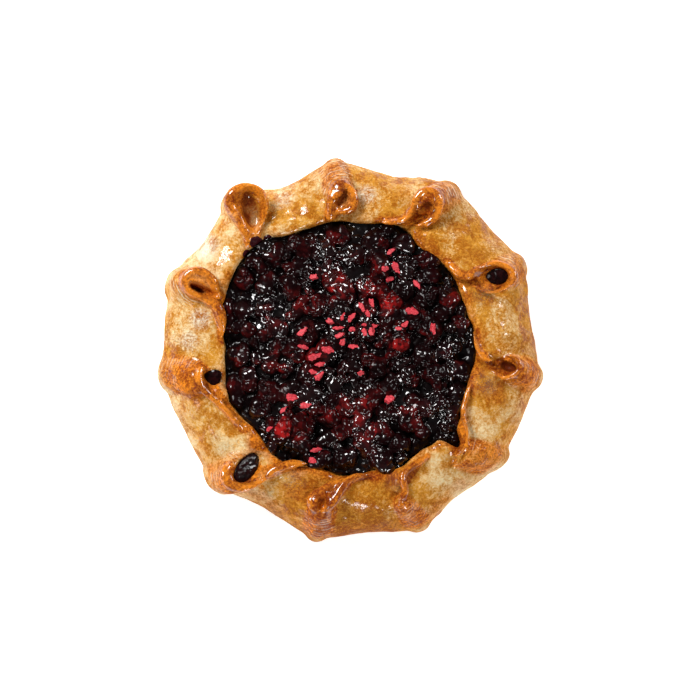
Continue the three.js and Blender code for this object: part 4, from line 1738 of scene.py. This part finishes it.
    def mark_horns(self, points: np.ndarray) -> None:
        """Stores how brown each horn is and where its stretch lines run.

        Args:
            points: The dough's points.
        """
        pleats = self.plan.pleats
        horns = [self.horn_rings(pleat).reshape(-1, 3) for pleat in pleats]
        which, far = nearest(points, np.concatenate(horns))
        which = which // len(horns[0])
        near = ramp(far, 2.8, 1.0) * ramp(points[:, 2], 8, 18)
        fold, stretch, ring = (np.zeros(len(points)) for _ in range(3))
        for index, pleat in enumerate(pleats):
            own = which == index
            line = SmoothLine(pleat.lip).samples(90) * LEVEL
            _, ring[own] = nearest(points[own] * LEVEL, line)
            fold[own] = near[own] * pleat.bake * ramp(ring[own], *self.fold_fade)
            stretch[own] = near[own] * pleat.rings * ramp(ring[own], *self.stretch_start)
        write_on(self.piece, fold=fold, stretch=stretch, ring=ring)

    def crest(self) -> np.ndarray:
        """How far each point stands out from the eased surface round it.

        Returns:
            A share from 0 in hollows to 1 on ridges.
        """
        mesh = self.piece.data
        ends = np.empty(len(mesh.edges) * 2, np.int32)
        mesh.edges.foreach_get("vertices", ends)
        a, b = ends.reshape(-1, 2).T
        points = points_of(self.piece)
        eased = points.copy()
        count = np.bincount(a, minlength=len(points)) + np.bincount(b, minlength=len(points))
        for _ in range(self.crest_passes):
            total = np.zeros_like(eased)
            for axis in range(3):
                total[:, axis] = (np.bincount(a, eased[b, axis], len(points))
                                  + np.bincount(b, eased[a, axis], len(points)))
            eased = 0.5 * eased + 0.5 * total / np.maximum(count, 1)[:, None]
        proud = ((points - eased) * outward_of(self.piece)).sum(1)
        return ramp(proud, 0.0, self.crest_height)

    def dress(self) -> None:
        """Gives the dough its baked finish."""
        cover(self.piece, self.finish.material())


# ---------------------------------------------------------------- the filling


@dataclass(frozen=True)
class Laid:
    """One fruit where it lies: its middle, half sizes, turn in degrees and redness."""

    middle: Point
    halves: Point
    turn: float
    red: float


# Each whole raspberry: its place, half length, half width, turn and redness.
RASPBERRIES: tuple[tuple[float, float, float, float, float, float], ...] = (
    (-37.5, -42, 10, 5.4, 75, 1.2), (-8, 36, 7.2, 6, 10, 0.8), (9.5, 34.5, 7.6, 6.2, -25, 0.8),
    (22, 26, 7, 6, 30, 1.0), (26, 3, 7.4, 6.2, 60, 0.7), (-3, -29, 7.4, 6.4, 0, 0.4),
    (11, -45, 6.6, 5.8, 40, 0.5), (54, 27, 6.8, 6, 80, 0.25), (-26, 56, 6.6, 5.8, -10, 0.1),
)

# Each dried crumb: its place, length, width and turn.
CRUMBS: tuple[tuple[float, float, float, float, float], ...] = (
    (22.5, 53.5, 6.4, 3.6, 30), (19.0, 44.0, 4.4, 3.4, 40), (25.0, 44.5, 6.8, 3.8, -55),
    (21.5, 38.5, 4.0, 3.6, 0), (36.5, 35.5, 6.0, 3.0, -60), (-19.5, 39.5, 4.0, 3.6, 0),
    (11.5, 25.5, 4.6, 3.2, -70), (6.5, 23.0, 6.2, 3.4, -65), (9.5, 19.5, 4.2, 2.8, -60),
    (33.5, 21.0, 7.0, 4.6, -15), (0.5, 17.5, 5.6, 3.6, 50), (-4.0, 18.0, 4.2, 2.6, 60),
    (-11.0, 15.5, 4.2, 3.0, -20), (-6.0, 12.0, 6.8, 2.6, 5), (-5.5, 8.0, 5.8, 3.0, 15),
    (1.5, 11.0, 5.0, 2.6, -10), (8.0, 13.5, 3.0, 2.6, 0), (8.0, 9.5, 4.8, 3.0, -70),
    (11.5, 10.0, 4.8, 3.8, 80), (13.5, 13.0, 3.8, 2.4, 20), (-4.0, 4.5, 4.4, 3.2, 60),
    (2.0, 2.0, 6.0, 2.4, -5), (-25.5, 10.0, 6.8, 3.4, 45), (-25.0, 1.5, 6.8, 3.2, -15),
    (-12.0, 0.0, 7.0, 4.6, -10), (-19.0, -3.5, 7.6, 3.6, 18), (-16.0, -7.5, 6.0, 3.2, 10),
    (-20.0, -12.0, 5.0, 3.0, -20), (-16.5, -14.0, 6.6, 3.4, 40), (6.0, -12.5, 4.0, 3.2, 0),
    (-31.5, -25.5, 6.6, 4.4, -10), (-24.0, -30.0, 6.4, 4.0, 10), (21.5, -26.5, 5.6, 4.8, 20),
    (29.5, 14.0, 3.6, 2.6, 50), (26.5, 12.0, 3.6, 2.4, 0), (45.0, 11.5, 6.0, 3.8, -80),
    (-36.0, -32.5, 5.0, 3.0, 50), (-43.5, -42.5, 4.0, 2.6, 30), (-18.0, -54.0, 6.6, 2.8, 5),
    (-20.0, -60.0, 5.4, 3.0, -15),
)


@dataclass
class Filling:
    """The heap of cooked fruit in its syrup, with whole berries and dried crumbs on it.

    A pair of sizes gives the least and how much a draw adds to it.
    """

    plan: Plan = field(default_factory=Plan)
    finish: CookedBerry = field(default_factory=CookedBerry)
    crumb_finish: DriedFruit = field(default_factory=DriedFruit)
    fruit_count: int = 86
    fruit_clear: float = 3.0
    fruit_half: Pair = (5.2, 1.8)
    fruit_longer: float = 0.28
    fruit_sunk: Pair = (0.8, 2.0)
    raspberry_sunk: float = 0.6
    flatness: float = 0.86
    bit_count: int = 200
    bit_clear: float = 2.0
    bit_half: Pair = (2.2, 1.6)
    bit_longer: float = 0.4
    bit_raised: Pair = (-1.6, 3.0)
    fruit_seed: int = 20611
    crumb_seed: int = 4407
    stalk_dent: float = 0.28
    syrup_below: float = 1.2
    syrup_profile: tuple[float, ...] = (1.0, 0.94, 0.86, 0.7, 0.5, 0.25, 0.0)
    syrup_columns: int = 160
    voxel: float = 0.57
    slump_size: float = 7.0
    slump: float = 2.0
    lump: float = 7.5
    lump_relief: float = 2.4
    drupelet: float = 3.2
    drupelet_relief: float = 1.6
    shake: float = 0.28
    pool_size: float = 15.0
    pool_shift: Point = (1.5, 4.0, 2.0)
    rough_size: float = 11.0
    rough_shift: Point = (7.0, 1.0, 4.0)
    pools: tuple[Spot, ...] = (
        (-60.0, 4.0, 9.0), (-58.0, -12.0, 9.0), (-61.0, 20.0, 8.0), (8.0, -60.0, 7.0),
        (22.0, -60.0, 6.0), (-44.0, -36.0, 6.0), (-4.0, 62.0, 8.0), (-48.0, 45.0, 8.0),
        (-22.0, 20.0, 8.0))
    sheens: tuple[Spot, ...] = (
        (-12.0, 42.0, 13.0), (-42.0, 22.0, 14.0), (8.0, -58.0, 12.0), (45.0, -34.0, 11.0),
        (6.0, 10.0, 12.0), (-50.0, -8.0, 9.0), (-20.0, -24.0, 9.0))
    cut_level: float = 19.0
    chip_taper: float = 0.45
    chip_rough: float = 1.15
    chip_rough_size: float = 1.4
    chip_facet: float = 24.0
    pieces: dict[str, bpy.types.Object] = field(default_factory=dict)
    laid: list[Laid] = field(default_factory=list)

    def level_at(self, bearing: float, radius: float) -> float:
        """Height of the cooked mass at one place."""
        return float(self.plan.core_height(bearing, radius))

    def lay(self) -> None:
        """Works out where every fruit lies, in the same draws as the solid."""
        draw = Draw(self.fruit_seed)
        own = Draw(self.fruit_seed + 1)
        rim = self.plan.rim()
        for index in range(self.fruit_count):
            bearing = index * GOLDEN_TURN + (draw() - 0.5) * 4
            reach = float(rim(bearing)) - self.fruit_clear
            radius = reach * math.sqrt((index + 0.5) / self.fruit_count) + (draw() - 0.5) * 2
            half_width = self.fruit_half[0] + self.fruit_half[1] * draw()
            half_length = half_width * (1 + self.fruit_longer * draw())
            turn = 360 * draw()
            sunk = self.fruit_sunk[0] + self.fruit_sunk[1] * draw()
            x, y, _ = polar(bearing, radius)
            if any(math.hypot(a - x, b - y) < long for a, b, long, _, _, _ in RASPBERRIES):
                continue
            self.laid.append(Laid((x, y, self.level_at(bearing, radius) - sunk),
                                  (half_length, half_width, half_width * self.flatness),
                                  turn, 0.16 * own() ** 6))
        for x, y, long, wide, turn, red in RASPBERRIES:
            bearing = math.degrees(math.atan2(y, x))
            level = self.level_at(bearing, math.hypot(x, y)) - self.raspberry_sunk
            self.laid.append(Laid((x, y, level), (long, wide, wide * self.flatness), turn, red))
        for index in range(self.bit_count):
            bearing = index * GOLDEN_TURN + own() * 30
            reach = float(rim(bearing)) - self.bit_clear
            radius = reach * math.sqrt((index + 0.5) / self.bit_count)
            half = self.bit_half[0] + self.bit_half[1] * own()
            x, y, _ = polar(bearing, radius)
            level = (self.level_at(bearing, radius) + self.bit_raised[1] * own()
                     + self.bit_raised[0])
            halves = (half * (1 + self.bit_longer * own()), half, half * 0.9)
            self.laid.append(Laid((x, y, level), halves, 360 * own(), 0.25 * own() ** 6))

    def berry(self, name: str) -> bpy.types.Object:
        """Models one cooked berry of unit half size, dented where its stalk was.

        Args:
            name: Name of the piece.

        Returns:
            The berry.
        """
        deselect_all()
        bpy.ops.mesh.primitive_ico_sphere_add(subdivisions=3, radius=1.0)
        body = bpy.context.active_object
        body.name = name
        points = points_of(body) * MM
        crown = unit(np.array([0.5, 0.2, 0.84]))
        dent = ramp(points @ crown, 0.86, 1.0)
        put_points(body, (points - crown * (dent * self.stalk_dent)[:, None]) / MM)
        return body

    def copies(self, model: bpy.types.Object, laid: Sequence[Laid]) -> list[bpy.types.Object]:
        """Sets down a copy of a modelled fruit, with its own mesh, at every place.

        Args:
            model: The fruit at unit half size.
            laid: Where the copies lie.

        Returns:
            The copies.
        """
        made = []
        for index, spot in enumerate(laid):
            copy = model.copy()
            copy.data = model.data.copy()
            bpy.context.scene.collection.objects.link(copy)
            roll = Matrix.Rotation(index * 2.399, 4, "X")
            size = Matrix.Diagonal((*[h * MM for h in spot.halves], 1.0))
            turn = Matrix.Rotation(math.radians(spot.turn), 4, "Z")
            copy.data.transform(Matrix.Translation([c * MM for c in spot.middle]) @ turn
                                @ size @ roll)
            made.append(copy)
        return made

    def core_rings(self) -> np.ndarray:
        """The rings of the syrup that the fruit lies in.

        Returns:
            The rings, a little wider than the space inside the rim.
        """
        plan = self.plan
        bearings = np.linspace(0, 360, self.syrup_columns, endpoint=False)
        rim = plan.rim()(bearings) * 1.02
        rows = [(np.zeros_like(rim), 6.0), (rim, 6.0)]
        for share in self.syrup_profile:
            radius = rim * share
            rows.append((radius, plan.core_height(bearings, radius) - self.syrup_below))
        return np.stack([polar(bearings, radius, level) for radius, level in rows])

    def build(self) -> None:
        """Models the mass, the whole raspberries and the crumbs."""
        self.lay()
        mass = loft("berry_mass", self.core_rings())
        model = self.berry("cooked_berry")
        shells = self.copies(model, self.laid)
        bpy.data.objects.remove(model)
        join(mass, *shells)
        knead(mass, self.voxel)
        well = self.plan.well_rings(self.plan.gap, self.plan.floor - 1.0)
        cut(mass, loft("well", well), Cut.KEEP)
        set_on_floor(mass, self.cut_level, self.plan.floor + self.plan.gap)
        self.cook(mass)
        self.mark(mass)
        self.pieces["mass"] = mass
        stands_for(mass, ["filling"])
        self.build_crumbs(mass)

    def cook(self, mass: bpy.types.Object) -> None:
        """Slumps the fruit and sets it with drupelets, but not where syrup has pooled.

        Args:
            mass: The mass of fruit.
        """
        points = points_of(mass)
        high = ramp(points[:, 2], self.cut_level, self.cut_level + 2)
        uneven(mass, self.slump_size, self.slump, (5.0, 2.0, 8.0), high)
        points = points_of(mass)
        shake = np.stack([np.sin(points[:, [1, 2, 0]] / 1.7 + turn).sum(1)
                          for turn in (0.0, 2.1, 4.2)], axis=1) * self.shake
        pool = soft_noise(points, self.pool_size, self.pool_shift)
        still = np.maximum(ramp(pool, 0.14, 0.28),
                           ramp(shares_away(points, self.pools), 1.15, 0.75))
        whole = high * (1 - 0.75 * still)
        outward = outward_of(mass)
        big, _ = lumps(points + 3.0 * shake, self.lump, 5)
        small, chance = lumps(points + 1.6 * shake, self.drupelet, 11)
        rough = soft_noise(points, self.rough_size, self.rough_shift)
        broken = self.drupelet_relief * (0.45 + 0.95 * ramp(rough, -0.20, 0.20))
        swell = high * (1 - 0.35 * still) * self.lump_relief * (big - 0.6)
        put_points(mass, points + outward * (swell + whole * broken * (small - 0.6))[:, None])
        soften(mass, 1)
        # Creases between the lumps: partly syrup, partly painted shade, for the material.
        write_on(mass, chance=chance, crease=(1 - small) * whole)

    def mark(self, mass: bpy.types.Object) -> None:
        """Stores how red and how high over the syrup each point of the mass is.

        Args:
            mass: The mass of fruit.
        """
        points = points_of(mass)
        middles = np.array([spot.middle for spot in self.laid])
        reds = np.array([spot.red for spot in self.laid])
        which, far = nearest(points * [1, 1, 0.6], middles * [1, 1, 0.6])
        radii = radius_of(points)
        over = points[:, 2] - self.plan.core_height(bearing_of(points), radii)
        write_on(mass, height=ramp(over, -0.5, 3.0), inner=1 - 0.8 * ramp(radii, 36, 60),
                 shine=ramp(shares_away(points, self.sheens), 1.2, 0.5),
                 red=reds[which] * ramp(far, 8.0, 5.0) * ramp(over, -0.5, 2.0))

    def build_crumbs(self, mass: bpy.types.Object) -> None:
        """Models the dried crumbs, each a chipped sliver tipped on what is under it.

        Args:
            mass: The mass that they lie on.
        """
        draw = Draw(self.crumb_seed)
        chips = []
        for x, y, long, wide, turn in CRUMBS:
            tips = ((draw() - 0.5) * 0.9, (draw() - 0.5) * 0.7)
            thick = 0.45 * wide + 0.5
            _, spot, _, _ = mass.ray_cast((x * MM, y * MM, 0.1), (0, 0, -1))
            level = spot.z / MM + 0.30 * thick + 0.4
            deselect_all()
            bpy.ops.mesh.primitive_cylinder_add(vertices=7, radius=0.5 * MM, depth=MM)
            chip = bpy.context.active_object
            with editing(chip):
                bpy.ops.mesh.bevel(offset=0.10 * MM, segments=2)
                bpy.ops.mesh.subdivide(number_cuts=1)
            points = points_of(chip) * [long, wide, thick]
            points[:, 1] *= 1 - self.chip_taper * ramp(points[:, 0], -0.5 * long, 0.5 * long)
            rough = soft_noise(points, self.chip_rough_size, (x, y, 0.0))
            put_points(chip, points + unit(points) * rough[:, None] * self.chip_rough)
            lie = (Matrix.Rotation(math.radians(turn), 4, "Z")
                   @ Matrix.Rotation(tips[1], 4, "Y") @ Matrix.Rotation(tips[0], 4, "X"))
            chip.data.transform(Matrix.Translation((x * MM, y * MM, level * MM)) @ lie)
            chips.append(chip)
        crumbs = join(*chips)
        crumbs.name = "dried_crumbs"
        self.pieces["crumbs"] = crumbs
        stands_for(crumbs, ["filling"])
        take(crumbs)
        bpy.ops.object.shade_smooth_by_angle(angle=math.radians(self.chip_facet))

    def dress(self) -> None:
        """Gives the mass its syrup and the crumbs their red."""
        cover(self.pieces["mass"], self.finish.material())
        cover(self.pieces["crumbs"], self.crumb_finish.material())


@dataclass
class JamPockets:
    """The filling that has come up in three hollows of the crust."""

    plan: Plan = field(default_factory=Plan)
    finish: CookedBerry = field(default_factory=lambda: CookedBerry(
        name="berry_jam", gloss=0.07, sheen=1.36, ripple=0.30, ripple_size=1.4))
    press: float = 0.1
    dome: float = 0.4
    crown_profile: tuple[float, ...] = (0.85, 0.62, 0.36, 0.12, 0.0)
    bumps: tuple[tuple[float, float, Point], ...] = (
        (5.0, 0.18, (2.0, 4.0, 1.0)), (1.8, 0.22, (7.0, 1.0, 3.0)))
    layers: tuple[tuple[str, float], ...] = (
        ("height", 0.05), ("red", 0.05), ("chance", 0.05), ("crease", 0.05), ("shine", 0.1),
        ("inner", 0.0))
    pieces: list[bpy.types.Object] = field(default_factory=list)

    def pocket(self, name: str, hollow: Hollow, level: float) -> None:
        """Models the jam in one hollow, domed and lumpy on top.

        Args:
            name: The CAD node that it stands for.
            hollow: The hollow it has come up in.
            level: How far under the opening it stands.
        """
        rings = hollow_rings(hollow, level, hollow.depth - self.plan.gap, -self.press, rows=12)
        top = rings[-1]
        middle = top.mean(0)
        crown = [middle + (top - middle) * share + hollow.outward * self.dome * (1 - share ** 2)
                 for share in self.crown_profile]
        piece = loft(name.replace("-", "_"), np.concatenate([rings, np.stack(crown)]))
        apply_modifier(piece, "SUBSURF", levels=1, render_levels=1)
        for size, amount, seed in self.bumps:
            uneven(piece, size, amount, seed)
        count = len(piece.data.vertices)
        write_on(piece, **{layer: np.full(count, value) for layer, value in self.layers})
        self.pieces.append(piece)
        stands_for(piece, [name])

    def build(self) -> None:
        """Models the three pockets."""
        for index, pleat in enumerate(self.plan.pleats):
            if pleat.jam is not None:
                self.pocket(f"jam-pocket-{index + 1}", pleat.hollow(), pleat.jam)
        self.pocket("jam-pocket-side", self.plan.side_hollow(), self.plan.side_hole_jam)

    def dress(self) -> None:
        """Gives the pockets their jam."""
        jam = self.finish.material()
        for piece in self.pieces:
            cover(piece, jam)


# ---------------------------------------------------------------- the studio


@dataclass(frozen=True)
class SoftBox:
    """One square studio light: its place in metres, its side and its power in watts."""

    name: str
    place: Point
    side: float
    power: float
    target: Point = (0.0, 0.0, 0.02)

    def put_up(self) -> None:
        """Adds the light, turned towards the galette."""
        bpy.ops.object.light_add(type="AREA", location=self.place)
        lamp = bpy.context.active_object
        lamp.name = self.name
        lamp.data.size = self.side
        lamp.data.energy = self.power
        aim = Vector(self.target) - Vector(self.place)
        lamp.rotation_euler = aim.to_track_quat("-Z", "Y").to_euler()


@dataclass
class Studio:
    """A pale worktop, soft light mostly from the upper left and a camera straight above."""

    floor_width: float = 4.0
    camera_height: float = 1.2
    view_width: float = 0.385
    focus_height: float = 0.01
    sensor: float = 36.0
    sky: float = 0.06
    lights: tuple[SoftBox, ...] = (
        SoftBox("key_light", (-0.60, 0.62, 0.88), 0.42, 16.5),
        SoftBox("right_light", (0.95, 0.45, 0.60), 0.32, 5.6),
        SoftBox("front_light", (0.25, -1.00, 0.60), 0.30, 5.0),
        SoftBox("left_light", (-1.05, -0.45, 0.50), 0.40, 2.0),
    )

    def build(self) -> None:
        """Sets up the floor, the lights, the sky and the camera."""
        deselect_all()
        bpy.ops.mesh.primitive_plane_add(size=self.floor_width, location=(0, 0, 0))
        floor = bpy.context.active_object
        floor.name = "pale_worktop"
        cover(floor, PaleFloor().material())
        for light in self.lights:
            light.put_up()
        world = bpy.data.worlds.new("studio_air")
        world.use_nodes = True
        air = world.node_tree.nodes["Background"]
        air.inputs["Color"].default_value = (1.0, 1.0, 1.0, 1.0)
        air.inputs["Strength"].default_value = self.sky
        scene = bpy.context.scene
        scene.world = world
        scene.view_settings.view_transform = "Standard"
        bpy.ops.object.camera_add(location=(0, 0, self.camera_height), rotation=(0, 0, 0))
        camera = bpy.context.active_object
        camera.data.sensor_width = self.sensor
        camera.data.lens = (self.sensor * (self.camera_height - self.focus_height)
                            / self.view_width)
        scene.camera = camera
        LOG.info("studio: %d lights", len(self.lights))


def main() -> None:
    """Builds the galette piece by piece, dresses it and sets up the studio."""
    logging.basicConfig(level=logging.INFO, format="%(name)s %(message)s")
    plan = Plan()
    for part in (Crust(plan), Filling(plan), JamPockets(plan)):
        part.build()
        part.dress()
    Studio().build()


if __name__ == "__main__":
    main()
